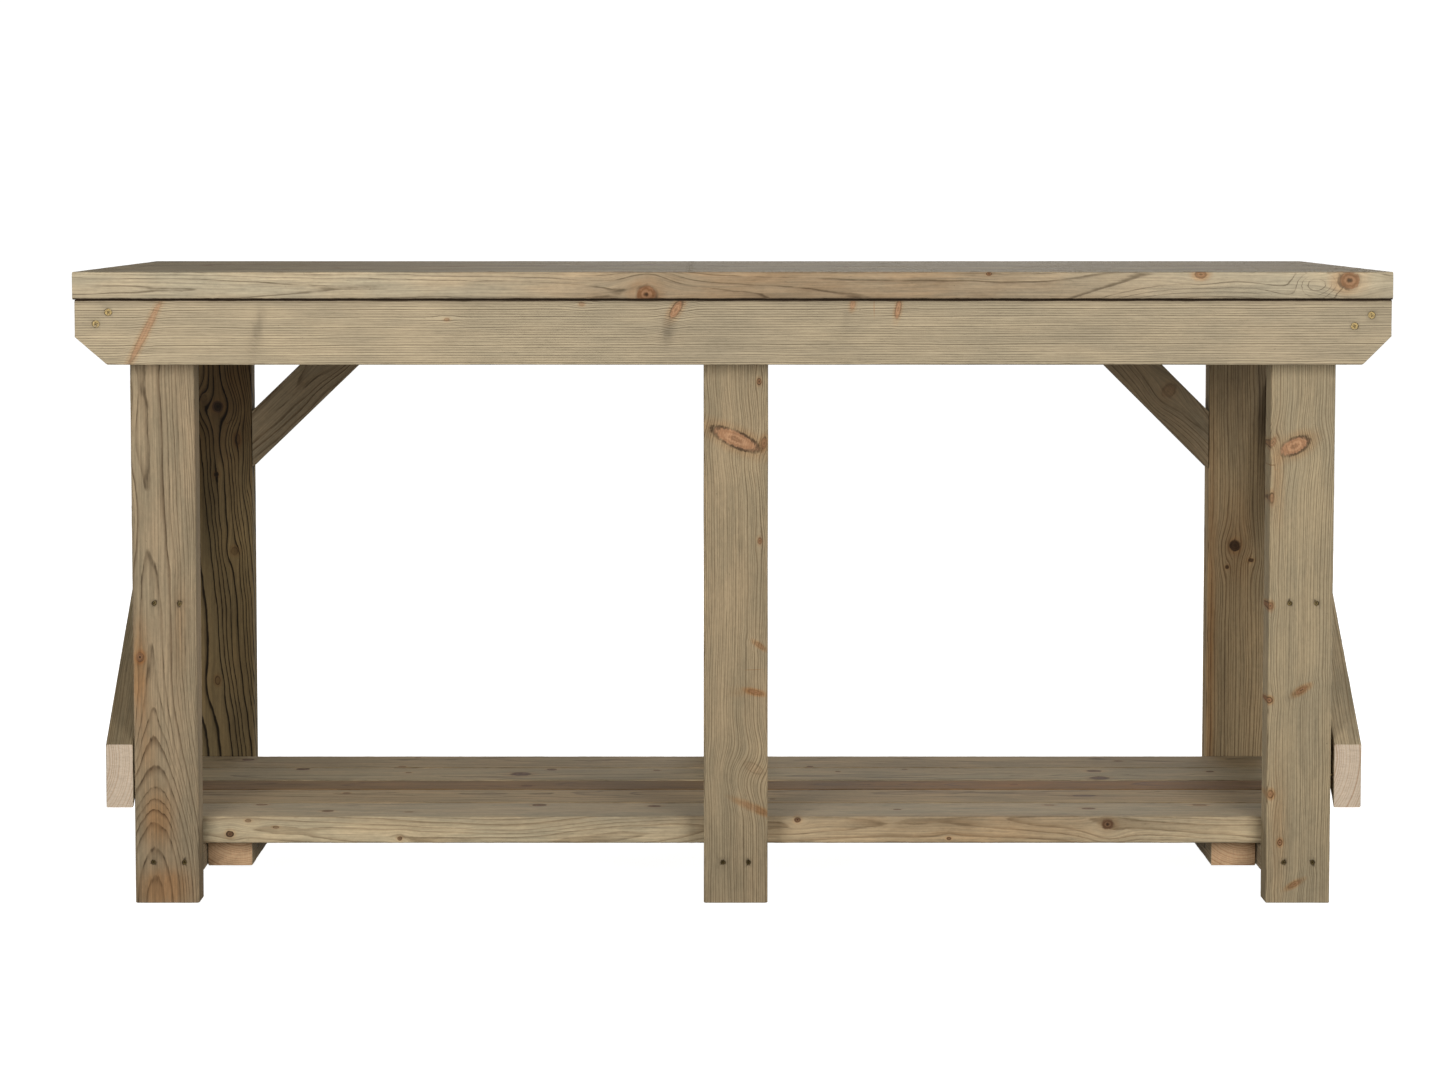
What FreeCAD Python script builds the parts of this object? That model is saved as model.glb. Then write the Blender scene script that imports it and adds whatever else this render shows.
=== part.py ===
import FreeCAD, Part
import math
import os

# Potting bench in planed, pressure treated softwood.
# Row frame, millimetres: X along the length, Y from front (-) to back (+), Z up.
# Origin: on the floor, under the centre of the worktop.

# ---------------------------------------------------------------- dimensions
LENGTH = 1800.0            # worktop length, X
DEPTH = 600.0              # worktop depth, Y
HEIGHT = 880.0             # floor to worktop surface, Z

THICK = 38.0               # every board is 38 thick
WIDE = 89.0                # wide section, 38 x 89
NARROW = 63.0              # narrow section, 38 x 63
EASE = 3.0                 # radius on the long edges

TOP_GAP = 0.5              # joint between two worktop boards
Z_TOP = HEIGHT - THICK     # underside of the worktop
Z_APRON = Z_TOP - WIDE     # underside of the aprons and the centre rail
Z_END_RAIL = Z_TOP - NARROW  # underside of the end rails, clear of the clipped corners

FRONT = -DEPTH / 2
BACK = DEPTH / 2
Y_LEG_F = FRONT + THICK    # front face of the front legs
Y_LEG_B = BACK - THICK     # back face of the back legs

APRON_X = (-897.0, 898.5)
CLIP_LEFT = (44.0, 38.0)   # lower corners cut off: along X, up Z
CLIP_RIGHT = (39.0, 39.0)
END_RAIL_X = 859.5         # centre line of the end rails
CENTRE_RAIL_X = (-77.8, -39.8)

LEG_LEFT = (-830.5, -741.5)
LEG_CENTRE = (-39.3, 49.7)
LEG_RIGHT = (743.0, 832.0)
LEG_BACK_RIGHT = (746.5, 835.5)   # the back right leg stands a little further out

STRETCH_Z = (37.0, 75.0)   # stretchers and shelf bearers, laid flat
CENTRE_STRETCH_X = (-26.0, 37.0)
BEARER_LEFT = (-740.5, -677.5)
BEARER_RIGHT = (678.5, 741.5)
BEARER_Y = (-197.0, 197.0)

SHELF_X = (-830.5, 832.0)
SHELF_WIDTHS = (WIDE, WIDE, NARROW, WIDE, WIDE)
SHELF_GAPS = (0.5, 0.5, 2.0, 0.5)

SIDE_BRACE_FOOT = 134.0    # where a side brace's lower edge meets the front leg's front face
SIDE_BRACE_LEFT = (-869.5, -831.5)
SIDE_BRACE_RIGHT = (836.0, 874.0)

KNEE_LEFT_FOOT = 561.5     # where a knee brace's lower edge meets the back leg
KNEE_LEFT_DEG = 43.85
KNEE_RIGHT_FOOT = 559.0
KNEE_RIGHT_DEG = 44.85

# countersunk wood screws, cross recess
HEAD_R = 4.8
SHANK_R = 2.0
HEAD_RIM = 0.5
TIP = 6.0
SUNK = 0.6                 # head below the wood's surface
CLEAR = 0.06               # between screw and wood

V = FreeCAD.Vector
os.makedirs("parts", exist_ok=True)

# ------------------------------------------------------------------- helpers
def ease(shape, direction, radius=EASE):
    """Round the long edges, those parallel to direction."""
    d = V(*direction)
    d.normalize()
    edges = []
    for e in shape.Edges:
        t = e.Vertexes[1].Point.sub(e.Vertexes[0].Point)
        t.normalize()
        if abs(abs(t.dot(d)) - 1.0) < 1e-4:
            edges.append(e)
    return shape.makeFillet(radius, edges)


def board(x, y, z, along):
    """A straight board between the given limits, eased along one axis."""
    s = Part.makeBox(x[1] - x[0], y[1] - y[0], z[1] - z[0], V(x[0], y[0], z[0]))
    return ease(s, {"x": (1, 0, 0), "y": (0, 1, 0), "z": (0, 0, 1)}[along])


def prism(points, step, along):
    """A board drawn as a polygon and pushed along step, eased along one direction."""
    wire = Part.makePolygon([V(*p) for p in points] + [V(*points[0])])
    s = Part.Face(wire).extrude(V(*step))
    return ease(s, along)


def screw_profile(length, grow, out):
    """Half section of a screw, head plane at z = 0, point towards -z."""
    r, h = SHANK_R + grow, HEAD_R + grow
    cone = HEAD_R - SHANK_R
    pts = [(0, out)]
    pts += [(h, out), (h, -HEAD_RIM - grow), (r, -HEAD_RIM - grow - cone),
            (r, -length + TIP - grow), (0, -length - grow)]
    wire = Part.makePolygon([V(a, 0, b) for a, b in pts] + [V(pts[0][0], 0, pts[0][1])])
    return Part.Face(wire).revolve(V(0, 0, 0), V(0, 0, 1), 360)


def recess():
    """Cross recess, four tapering wings."""
    wings = []
    for a in (0, 90):
        pts = [(-2.6, 0.2), (2.6, 0.2), (1.0, -2.2), (-1.0, -2.2)]
        wire = Part.makePolygon([V(x, -0.5, z) for x, z in pts] + [V(pts[0][0], -0.5, pts[0][1])])
        w = Part.Face(wire).extrude(V(0, 1.0, 0))
        w.rotate(V(0, 0, 0), V(0, 0, 1), a)
        wings.append(w)
    return wings[0].fuse(wings[1])


def place(shape, point, into, spin):
    """Put a screw-frame shape with its head plane at point and its point going into."""
    rot = FreeCAD.Rotation(V(0, 0, -1), V(*into))
    turn = FreeCAD.Rotation(V(0, 0, 1), spin)
    s = shape.copy()
    s.Placement = FreeCAD.Placement(V(*point), rot.multiply(turn))
    return s


MASTERS = {}
def screw_master(length):
    if length not in MASTERS:
        MASTERS[length] = screw_profile(length, 0.0, 0.0).cut(recess())
    return MASTERS[length]


SCREWS = {}                # node -> list of screw solids
BORES = []                 # hole shapes, cut from every board they cross
def drive(node, surface, into, length, sunk=SUNK, pocket=0.0):
    """Drive a screw through the point on the wood's surface."""
    d = V(*into)
    p = V(*surface).add(V(d.x * sunk, d.y * sunk, d.z * sunk))
    spin = (37.0 * len(BORES)) % 90.0
    SCREWS.setdefault(node, []).append(place(screw_master(length), (p.x, p.y, p.z), into, spin))
    tool = screw_profile(length, CLEAR, sunk + 0.5 + pocket)
    BORES.append(place(tool, (p.x, p.y, p.z), into, 0))


# -------------------------------------------------------------------- boards
BOARDS = {}

# worktop: six wide boards and one narrow one, side by side from the front
worktop_y = []
y = FRONT
for i, w in enumerate([WIDE] * 6 + [NARROW]):
    BOARDS["worktop_board_%d" % (i + 1)] = board((-LENGTH / 2, LENGTH / 2), (y, y + w), (Z_TOP, HEIGHT), "x")
    worktop_y.append((y, y + w))
    y += w + TOP_GAP

# aprons on edge under the front and back of the worktop, lower corners cut off
def apron(y0):
    xl, xr = APRON_X
    pts = [(xl, y0, Z_TOP), (xl, y0, Z_APRON + CLIP_LEFT[1]), (xl + CLIP_LEFT[0], y0, Z_APRON),
           (xr - CLIP_RIGHT[0], y0, Z_APRON), (xr, y0, Z_APRON + CLIP_RIGHT[1]), (xr, y0, Z_TOP)]
    return prism(pts, (0, THICK, 0), (1, 0, 0))

BOARDS["apron_front"] = apron(FRONT)
BOARDS["apron_back"] = apron(Y_LEG_B)

# rails on edge, from apron to apron
BOARDS["end_rail_left"] = board((-END_RAIL_X - THICK / 2, -END_RAIL_X + THICK / 2), (Y_LEG_F, Y_LEG_B), (Z_END_RAIL, Z_TOP), "y")
BOARDS["end_rail_right"] = board((END_RAIL_X - THICK / 2, END_RAIL_X + THICK / 2), (Y_LEG_F, Y_LEG_B), (Z_END_RAIL, Z_TOP), "y")
BOARDS["centre_rail"] = board(CENTRE_RAIL_X, (Y_LEG_F, Y_LEG_B), (Z_APRON, Z_TOP), "y")

# six legs, floor to worktop, inside the aprons
LEGS = {"left": LEG_LEFT, "centre": LEG_CENTRE, "right": LEG_RIGHT}
for name, x in LEGS.items():
    BOARDS["leg_front_" + name] = board(x, (Y_LEG_F, Y_LEG_F + THICK), (0, Z_TOP), "z")
    BOARDS["leg_back_" + name] = board(LEG_BACK_RIGHT if name == "right" else x, (Y_LEG_B - THICK, Y_LEG_B), (0, Z_TOP), "z")

# stretchers laid flat between front and back legs
y_in = (Y_LEG_F + THICK, Y_LEG_B - THICK)
BOARDS["stretcher_left"] = board(LEG_LEFT, y_in, STRETCH_Z, "y")
BOARDS["stretcher_right"] = board(LEG_RIGHT, y_in, STRETCH_Z, "y")
BOARDS["stretcher_centre"] = board(CENTRE_STRETCH_X, y_in, STRETCH_Z, "y")

# shelf bearers inside the end stretchers
BOARDS["shelf_bearer_left"] = board(BEARER_LEFT, BEARER_Y, STRETCH_Z, "y")
BOARDS["shelf_bearer_right"] = board(BEARER_RIGHT, BEARER_Y, STRETCH_Z, "y")

# shelf boards, from just behind the front legs, across the stretchers to the outer faces of the end legs
shelf_y = []
y = y_in[0]
for i, w in enumerate(SHELF_WIDTHS):
    BOARDS["shelf_board_%d" % (i + 1)] = board(SHELF_X, (y, y + w), (STRETCH_Z[1], STRETCH_Z[1] + THICK), "x")
    shelf_y.append((y, y + w))
    y += w + (SHELF_GAPS[i] if i < len(SHELF_GAPS) else 0)

# diagonal side braces, outside the end legs, rising to the back at 45 degrees
rise = NARROW * math.sqrt(2.0)
run = Y_LEG_B - Y_LEG_F
def side_brace(x):
    z0 = SIDE_BRACE_FOOT
    pts = [(x[0], Y_LEG_F, z0), (x[0], Y_LEG_B, z0 + run),
           (x[0], Y_LEG_B, z0 + run + rise), (x[0], Y_LEG_F, z0 + rise)]
    return prism(pts, (THICK, 0, 0), (0, 1, 1))

BOARDS["side_brace_left"] = side_brace(SIDE_BRACE_LEFT)
BOARDS["side_brace_right"] = side_brace(SIDE_BRACE_RIGHT)

# knee braces from the back end legs up to the back apron, in the plane of the legs
def knee_brace(x_leg, side, foot, deg):
    t = math.tan(math.radians(deg))
    up = NARROW / math.cos(math.radians(deg))
    y0 = Y_LEG_B - THICK
    top = Z_TOP - 0.3
    pts = [(x_leg, y0, foot), (x_leg + side * (top - foot) / t, y0, top),
           (x_leg + side * (top - foot - up) / t, y0, top), (x_leg, y0, foot + up)]
    return prism(pts, (0, THICK, 0), (side, 0, t))

BOARDS["knee_brace_left"] = knee_brace(LEG_LEFT[1] + 0.2, 1, KNEE_LEFT_FOOT, KNEE_LEFT_DEG)
BOARDS["knee_brace_right"] = knee_brace(LEG_BACK_RIGHT[0] - 0.2, -1, KNEE_RIGHT_FOOT, KNEE_RIGHT_DEG)

# -------------------------------------------------------------------- screws
# worktop boards down into the rails, first and last boards also into the aprons
for y0, y1 in worktop_y:
    mid, off = (y0 + y1) / 2, (y1 - y0) / 2 - 19.0
    for x in (-END_RAIL_X, (CENTRE_RAIL_X[0] + CENTRE_RAIL_X[1]) / 2, END_RAIL_X):
        for yy in (mid - off, mid + off):
            drive("worktop_screws", (x, yy, HEIGHT), (0, 0, -1), 70.0)
for yy in (FRONT + 19.0, BACK - 19.0):
    for x in (-620.0, -330.0, 330.0, 620.0):
        drive("worktop_screws", (x, yy, HEIGHT), (0, 0, -1), 70.0)

# aprons into the ends of the end rails
for x, z in ((-851.0, 825.0), (-868.0, 809.0), (848.0, 806.0), (871.0, 821.0)):
    drive("apron_screws", (x, FRONT, z), (0, 1, 0), 80.0, 1.2)
    drive("apron_screws", (x, BACK, z), (0, -1, 0), 80.0, 1.2)

# legs into the aprons, from inside
for name, x in LEGS.items():
    mid = (x[0] + x[1]) / 2
    for dx, z in ((-21.0, 775.0), (21.0, 820.0)):
        drive("leg_top_screws", (mid + dx, y_in[0], z), (0, -1, 0), 70.0)
        drive("leg_top_screws", (mid + dx, y_in[1], z), (0, 1, 0), 70.0)

# centre rail into the centre legs
for yy in (Y_LEG_F + THICK / 2, Y_LEG_B - THICK / 2):
    for z in (764.0, 798.0):
        drive("centre_rail_screws", (CENTRE_RAIL_X[0], yy, z), (1, 0, 0), 70.0)

# legs into the ends of the stretchers
for xs, z in (((-805.0, -762.0), 57.0), ((-12.5, 23.0), 57.0), ((768.0, 808.0), 57.0)):
    for x in xs:
        drive("stretcher_screws", (x, Y_LEG_F, z), (0, 1, 0), 80.0, 3.0)
        drive("stretcher_screws", (x, Y_LEG_B, z), (0, -1, 0), 80.0, 3.0)

# spare fixing screws half way up the front end legs
for x in (-800.0, -765.0, 772.0, 809.0):
    drive("leg_middle_screws", (x, Y_LEG_F, 420.0), (0, 1, 0), 32.0, 3.0)

# side braces into the edges of the end legs
for face, into in ((SIDE_BRACE_LEFT[0], 1), (SIDE_BRACE_RIGHT[1], -1)):
    for yy, z in ((-251.0, 178.0), (-234.0, 212.0), (234.0, 672.0), (251.0, 705.0)):
        drive("side_brace_screws", (face, yy, z), (into, 0, 0), 80.0)

# knee braces into the back apron, and one slanting pocket screw each into the leg
for x_leg, side, foot, deg in ((LEG_LEFT[1], 1, KNEE_LEFT_FOOT, KNEE_LEFT_DEG),
                               (LEG_BACK_RIGHT[0], -1, KNEE_RIGHT_FOOT, KNEE_RIGHT_DEG)):
    t = math.tan(math.radians(deg))
    up = NARROW / math.cos(math.radians(deg))
    for z in (782.0, 814.0):
        x = x_leg + side * (z - foot - up / 2) / t
        drive("knee_brace_screws", (x, y_in[1], z), (0, 1, 0), 70.0)
    z = foot + 27.0
    x = x_leg + side * ((27.0 - HEAD_R - 0.6) / t)
    drive("knee_brace_screws", (x, Y_LEG_B - THICK / 2, z), (-side, 0, 0), 60.0, 1.0, 14.0)

# bearers into the end stretchers
for x, into in ((BEARER_LEFT[1], -1), (BEARER_RIGHT[0], 1)):
    for yy in (-148.0, 9.0, 156.0):
        drive("bearer_screws", (x, yy, 56.0), (into, 0, 0), 100.0)

# shelf boards from below, through the bearers and the centre stretcher
for x in ((BEARER_LEFT[0] + BEARER_LEFT[1]) / 2, sum(CENTRE_STRETCH_X) / 2, (BEARER_RIGHT[0] + BEARER_RIGHT[1]) / 2):
    for yy in (-186.0, -163.0, -112.0, -68.0, -30.0, -6.0, 42.0, 87.0, 132.0, 178.0):
        drive("shelf_screws", (x, yy, STRETCH_Z[0]), (0, 0, 1), 60.0)

# --------------------------------------------------------------------- export
def apart(a, b):
    return (a.XMax < b.XMin or b.XMax < a.XMin or a.YMax < b.YMin or
            b.YMax < a.YMin or a.ZMax < b.ZMin or b.ZMax < a.ZMin)

for name in sorted(BOARDS):
    shape = BOARDS[name]
    tools = [t for t in BORES if not apart(shape.BoundBox, t.BoundBox)]
    if tools:
        shape = shape.cut(tools)
    if len(shape.Solids) != 1 or not shape.isValid():
        raise SystemExit("bad board " + name)
    shape = shape.Solids[0]
    BOARDS[name] = shape
    shape.exportStep("parts/" + name + ".step")

for name in sorted(SCREWS):
    group = Part.makeCompound([s.Solids[0] for s in SCREWS[name]])
    group.exportStep("parts/" + name + ".step")
    print(name, len(SCREWS[name]))

b = Part.makeCompound(list(BOARDS.values()) + [s for g in SCREWS.values() for s in g]).BoundBox
print("nodes", len(BOARDS) + len(SCREWS))
print("box", round(b.XMin, 2), round(b.XMax, 2), round(b.YMin, 2), round(b.YMax, 2), round(b.ZMin, 2), round(b.ZMax, 2))
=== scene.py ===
import bpy
import math
import numpy as np
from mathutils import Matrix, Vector


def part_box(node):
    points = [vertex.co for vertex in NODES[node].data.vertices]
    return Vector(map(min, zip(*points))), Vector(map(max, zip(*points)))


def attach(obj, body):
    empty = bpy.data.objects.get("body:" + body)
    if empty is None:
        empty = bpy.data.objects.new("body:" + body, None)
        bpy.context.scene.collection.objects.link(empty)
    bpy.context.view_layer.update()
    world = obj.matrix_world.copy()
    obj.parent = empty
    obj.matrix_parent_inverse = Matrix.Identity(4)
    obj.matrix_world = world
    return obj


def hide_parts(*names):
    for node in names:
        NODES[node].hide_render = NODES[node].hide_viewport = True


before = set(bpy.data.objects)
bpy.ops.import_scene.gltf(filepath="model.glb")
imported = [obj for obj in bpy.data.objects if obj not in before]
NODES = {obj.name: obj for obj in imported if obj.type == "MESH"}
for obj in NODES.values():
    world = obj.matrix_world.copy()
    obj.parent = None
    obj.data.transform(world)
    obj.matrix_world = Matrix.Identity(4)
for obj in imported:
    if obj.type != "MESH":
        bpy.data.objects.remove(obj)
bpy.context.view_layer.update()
MM = 0.001

# ------------------------------------------------------------------ boards
# Each board has its own frame: L along the grain, W across the wide face and
# T through the thickness, in millimetres from the middle of its CAD box.
X, Y, Z = np.eye(3)
S45 = math.sqrt(0.5)
EDGE = 3.0        # eased long edges
STEP = 6.0        # station spacing along the grain
FLAT = 5.0        # point spacing across the flats


def centre(name):
    a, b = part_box(name)
    a, b = np.array(a) / MM, np.array(b) / MM
    return (a + b) / 2, b - a


def wob(x, seed, wl, n=5):
    """Smooth wandering value, about -1 to 1, along x."""
    r = np.random.RandomState(seed)
    out = np.zeros_like(np.asarray(x, float))
    for k in range(n):
        w = wl * (0.55 + 1.1 * r.rand())
        out = out + np.sin(2 * math.pi * (x / w + r.rand())) * (0.5 + 0.5 * r.rand())
    return out / (0.55 * n)


def wob2(x, y, seed, wx, wy, n=9):
    r = np.random.RandomState(seed)
    out = np.zeros(np.broadcast(x, y).shape)
    for k in range(n):
        a = 2 * math.pi * r.rand()
        fx = math.cos(a) / wx * (0.5 + r.rand())
        fy = math.sin(a) / wy * (0.5 + r.rand())
        out = out + np.sin(2 * math.pi * (x * fx + y * fy + r.rand()))
    return out / (0.5 * n)


def curve(x, pts):
    """Smooth curve through (x, value) points."""
    if not hasattr(pts, "__len__"):
        return np.full_like(x, float(pts))
    px = np.array([p[0] for p in pts], float)
    pv = np.array([p[1] for p in pts], float)
    out = np.zeros_like(x)
    for d, w_ in ((-45, 1), (-22, 2), (0, 2), (22, 2), (45, 1)):
        out = out + w_ * np.interp(x + d, px, pv)
    return out / 8.0


def ring_points(w, t, r, extra_w=()):
    """Section of an eased board, anticlockwise seen from +L."""
    hw, ht = w / 2, t / 2

    def flat(a, b, extra=()):
        n = max(2, int(round(abs(b - a) / FLAT)))
        v = list(np.linspace(a, b, n + 1))
        for e in extra:
            if min(a, b) + 0.4 < e < max(a, b) - 0.4:
                k = int(np.argmin([abs(q - e) for q in v]))
                if 0 < k < len(v) - 1 and abs(v[k] - e) < FLAT * 0.45 and v[k] not in extra:
                    v[k] = e
                else:
                    v.append(e)
        return sorted(v, reverse=bool(a > b))

    pts, side = [], []
    arc = [math.radians(q) for q in (22.5, 45, 67.5)]

    def corner(cx, cy, a0, s):
        for q in arc:
            a = a0 + q
            pts.append((cx + r * math.cos(a), cy + r * math.sin(a)))
            side.append(s)

    for q in flat(-ht + r, ht - r):
        pts.append((hw, q)); side.append("W+")
    corner(hw - r, ht - r, 0, "c")
    for q in flat(hw - r, -hw + r, extra_w):
        pts.append((q, ht)); side.append("T+")
    corner(-hw + r, ht - r, math.pi / 2, "c")
    for q in flat(ht - r, -ht + r):
        pts.append((-hw, q)); side.append("W-")
    corner(-hw + r, -ht + r, math.pi, "c")
    for q in flat(-hw + r, hw - r, extra_w):
        pts.append((q, -ht)); side.append("T-")
    corner(hw - r, -ht + r, 1.5 * math.pi, "c")
    return np.array(pts), side


def bridge(faces, outer, oang, inner, iang):
    """Triangles between two closed loops that both run anticlockwise."""
    def turn(ids, ang):
        ang = [a % (2 * math.pi) for a in ang]
        k = int(np.argmin(ang))
        return ids[k:] + ids[:k], ang[k:] + ang[:k]
    outer, oa = turn(list(outer), list(oang))
    inner, ia = turn(list(inner), list(iang))
    n, m = len(outer), len(inner)
    oa.append(oa[0] + 2 * math.pi)
    ia.append(ia[0] + 2 * math.pi)
    i = j = 0
    while i < n or j < m:
        if j >= m or (i < n and oa[i + 1] <= ia[j + 1]):
            faces.append((outer[i], outer[(i + 1) % n], inner[j % m])); i += 1
        else:
            faces.append((outer[i % n], inner[(j + 1) % m], inner[j % m])); j += 1


# in-plane axes that run anticlockwise seen from outside each face
PLANE = {"T+": ("L", "W"), "T-": ("W", "L"), "W+": ("T", "L"), "W-": ("L", "T")}
AXI = {"L": 0, "W": 1, "T": 2}
HOLE_R = 4.86


def build_board(name, P):
    c, size = centre(name)
    eL, eW = np.array(P["L"], float), np.array(P["W"], float)
    eT = np.cross(eL, eW)
    w = P.get("w") or float(np.dot(np.abs(eW), size))
    t = P.get("t") or float(np.dot(np.abs(eT), size))
    seed = P["seed"]
    start, end = P.get("start"), P.get("end")
    if start is None:
        ln = float(np.dot(np.abs(eL), size))
        start = lambda W: np.full_like(W, -ln / 2)
        end = lambda W: np.full_like(W, ln / 2)
    sec, side = ring_points(w, t, P.get("edge", EDGE), P.get("extra_w", ()))
    NP = len(sec)
    s0, s1 = start(sec[:, 0]), end(sec[:, 0])
    span = float(np.max(s1 - s0))
    n = max(6, int(round(span / STEP)))
    u = np.linspace(0, 1, n + 1)
    holes = P.get("holes", [])
    b = 0.55 / span
    u = np.concatenate([[0.0, b, 2.2 * b], u[1:-1], [1 - 2.2 * b, 1 - b, 1.0]])
    NS = len(u)
    inset = np.zeros(NS); inset[0] = inset[-1] = 0.55
    Lc = s0[None, :] + u[:, None] * (s1 - s0)[None, :]
    Wc = np.repeat(sec[None, :, 0], NS, 0)
    Tc = np.repeat(sec[None, :, 1], NS, 0)
    # end bevel
    Wc = Wc - np.sign(Wc) * inset[:, None] * (np.abs(Wc) > w / 2 - 1.2)
    Tc = Tc - np.sign(Tc) * inset[:, None] * (np.abs(Tc) > t / 2 - 1.2)
    rest = np.stack([Lc, Wc, Tc], -1).reshape(-1, 3)
    # eased edges wander a little and faces are never quite flat
    pos = rest.copy()
    L_, W_, T_ = rest[:, 0], rest[:, 1], rest[:, 2]
    isc = np.array([s == "c" for s in side] * NS)
    cornerid = (np.sign(W_) * 2 + np.sign(T_)).astype(int)
    for cid in (-3, -1, 1, 3):
        k = isc & (cornerid == cid)
        a = np.clip(0.25 + 0.45 * wob(L_[k], seed * 13 + cid, 70) + 0.35 * wob(L_[k], seed * 17 + cid, 19), 0, 1.1)
        pos[k, 1] -= np.sign(W_[k]) * a * 0.7
        pos[k, 2] -= np.sign(T_[k]) * a * 0.7
    sag = 0.12 + 0.11 * wob2(L_, W_ + T_, seed * 5, 160, 70)
    kW = np.array([s in ("W+", "W-") for s in side] * NS)
    kT = np.array([s in ("T+", "T-") for s in side] * NS)
    sag = np.clip(sag, 0, 0.3)
    pos[kW, 1] -= np.sign(W_[kW]) * sag[kW]
    pos[kT, 2] -= np.sign(T_[kT]) * sag[kT]
    # rough-sawn ends: the last ring steps back unevenly
    for i in (0, NS - 1):
        k = slice(i * NP, (i + 1) * NP)
        d = 0.10 + 0.10 * wob2(W_[k], T_[k], seed * 7 + i, 22, 18)
        pos[k, 0] += (1 if i == 0 else -1) * np.clip(d, 0, 0.3)
    for f in P.get("dents", []):
        pos += f(rest)
    verts = [tuple(p) for p in pos]
    gpos = [tuple(p) for p in rest]
    faces, cap = [], []
    drop = set()
    hole_jobs = []
    idx = lambda i, j: i * NP + (j % NP)
    for h in holes:
        face, l0, q0 = h["face"], h["l"], h["q"]   # q is W on T faces and T on W faces
        R = h.get("r", HOLE_R)
        js = [j for j in range(NP) if side[j] == face]
        a = 0 if face[0] == "T" else 1
        Q = sec[js, a]
        need = R + 1.6
        order = np.argsort(Q)
        Qs = Q[order]
        lo_k = int(np.searchsorted(Qs, q0 - need, "right") - 1)
        hi_k = int(np.searchsorted(Qs, q0 + need, "left"))
        if lo_k < 0 or hi_k >= len(js):
            lo_k, hi_k = max(lo_k, 0), min(hi_k, len(js) - 1)
        jj = sorted([js[order[lo_k]], js[order[hi_k]]])
        Lrow = Lc[:, jj[0]]
        i0 = int(np.searchsorted(Lrow, l0 - need, "right") - 1)
        i1 = int(np.searchsorted(Lrow, l0 + need, "left"))
        i0, i1 = max(i0, 1), min(i1, NS - 2)
        block = {(i, j) for i in range(i0, i1) for j in range(jj[0], jj[1])}
        if block & drop:
            print("hole blocks overlap on", name, l0, q0)
        drop |= block
        hole_jobs.append((h, i0, i1, jj[0], jj[1]))
    for i in range(NS - 1):
        for j in range(NP):
            if (i, j) in drop:
                continue
            faces.append((idx(i, j), idx(i, j + 1), idx(i + 1, j + 1), idx(i + 1, j)))
            cap.append(0.0)
    hole_painted_shade = {}
    for h, i0, i1, j0, j1 in hole_jobs:
        face, l0, q0 = h["face"], h["l"], h["q"]
        R = h.get("r", HOLE_R)
        loop = [idx(i0, j) for j in range(j0, j1)] + [idx(i, j1) for i in range(i0, i1)] \
            + [idx(i1, j) for j in range(j1, j0, -1)] + [idx(i, j0) for i in range(i1, i0, -1)]
        pa, qa = PLANE[face]
        base = np.zeros(3); base[0] = l0
        if face[0] == "T":
            base[1] = q0; base[2] = (t / 2) * (1 if face == "T+" else -1)
            out = np.array([0, 0, 1.0 if face == "T+" else -1.0])
        else:
            base[2] = q0; base[1] = (w / 2) * (1 if face == "W+" else -1)
            out = np.array([0, 1.0 if face == "W+" else -1.0, 0])
        ip, iq = AXI[pa], AXI[qa]
        loc = np.array([rest[v] for v in loop]) - base
        oang = np.arctan2(loc[:, iq], loc[:, ip])
        M = 20
        ang = np.arange(M) * 2 * math.pi / M + 0.11
        rs = np.random.RandomState(seed * 101 + int(abs(l0 * 7 + q0 * 3)) % 9973)
        torn = h.get("torn", 0.35)
        ph = rs.rand(4) * 6.28
        jag = torn * (0.5 * np.sin(2 * ang + ph[0]) + 0.4 * np.sin(3 * ang + ph[1]) + 0.4 * np.sin(7 * ang + ph[2]) + 0.3 * np.sin(5 * ang + ph[3]))
        sunk = h.get("sunk", 0.6)
        if h.get("shut"):
            prof = [(4.6, 0.05), (3.5, 0.45), (3.0, 1.2), (R + 0.02, sunk - 0.4), (R + 0.02, sunk + 0.55), (2.12, sunk + 3.35), (2.08, sunk + 5.6)]
        else:
            prof = [(R + 1.1, 0.10), (R + 0.35, 0.22 + 0.25 * torn), (R + 0.06, 0.75 + 0.3 * torn), (R + 0.02, sunk + 0.55),
                    (2.12, sunk + 3.35), (2.08, sunk + 5.6)]
        rings = []
        for k, (rr, dd) in enumerate(prof):
            ids = []
            for m_ in range(M):
                al = abs(math.cos(ang[m_])) if pa == "L" else abs(math.sin(ang[m_]))
                e = max(jag[m_], -0.25) * (1.0, 0.8, 0.25, 0, 0, 0, 0)[k] * (0.45 + 1.25 * al ** 3)
                p = base.copy()
                p[ip] += (rr + e) * math.cos(ang[m_])
                p[iq] += (rr + e) * math.sin(ang[m_])
                g = p.copy()
                d2 = dd + (0.25 * max(jag[m_], 0) if k == 1 else 0)
                p = p - out * d2
                ids.append(len(verts))
                verts.append(tuple(p)); gpos.append(tuple(g - out * d2))
                # painted shade: the hole walls are painted darker going down into the hole
                hole_painted_shade[ids[-1]] = (0.15, 0.6, 0.95, 1, 1, 1, 1)[k]
            rings.append(ids)
        nf = len(faces)
        bridge(faces, loop, list(oang), rings[0], list(ang))
        for k in range(len(rings) - 1):
            for m_ in range(M):
                a0, a1 = rings[k][m_], rings[k][(m_ + 1) % M]
                b0, b1 = rings[k + 1][m_], rings[k + 1][(m_ + 1) % M]
                faces.append((a0, a1, b1, b0))
        faces.append(tuple(rings[-1]))
        cap += [0.0] * (len(faces) - nf)
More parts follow.
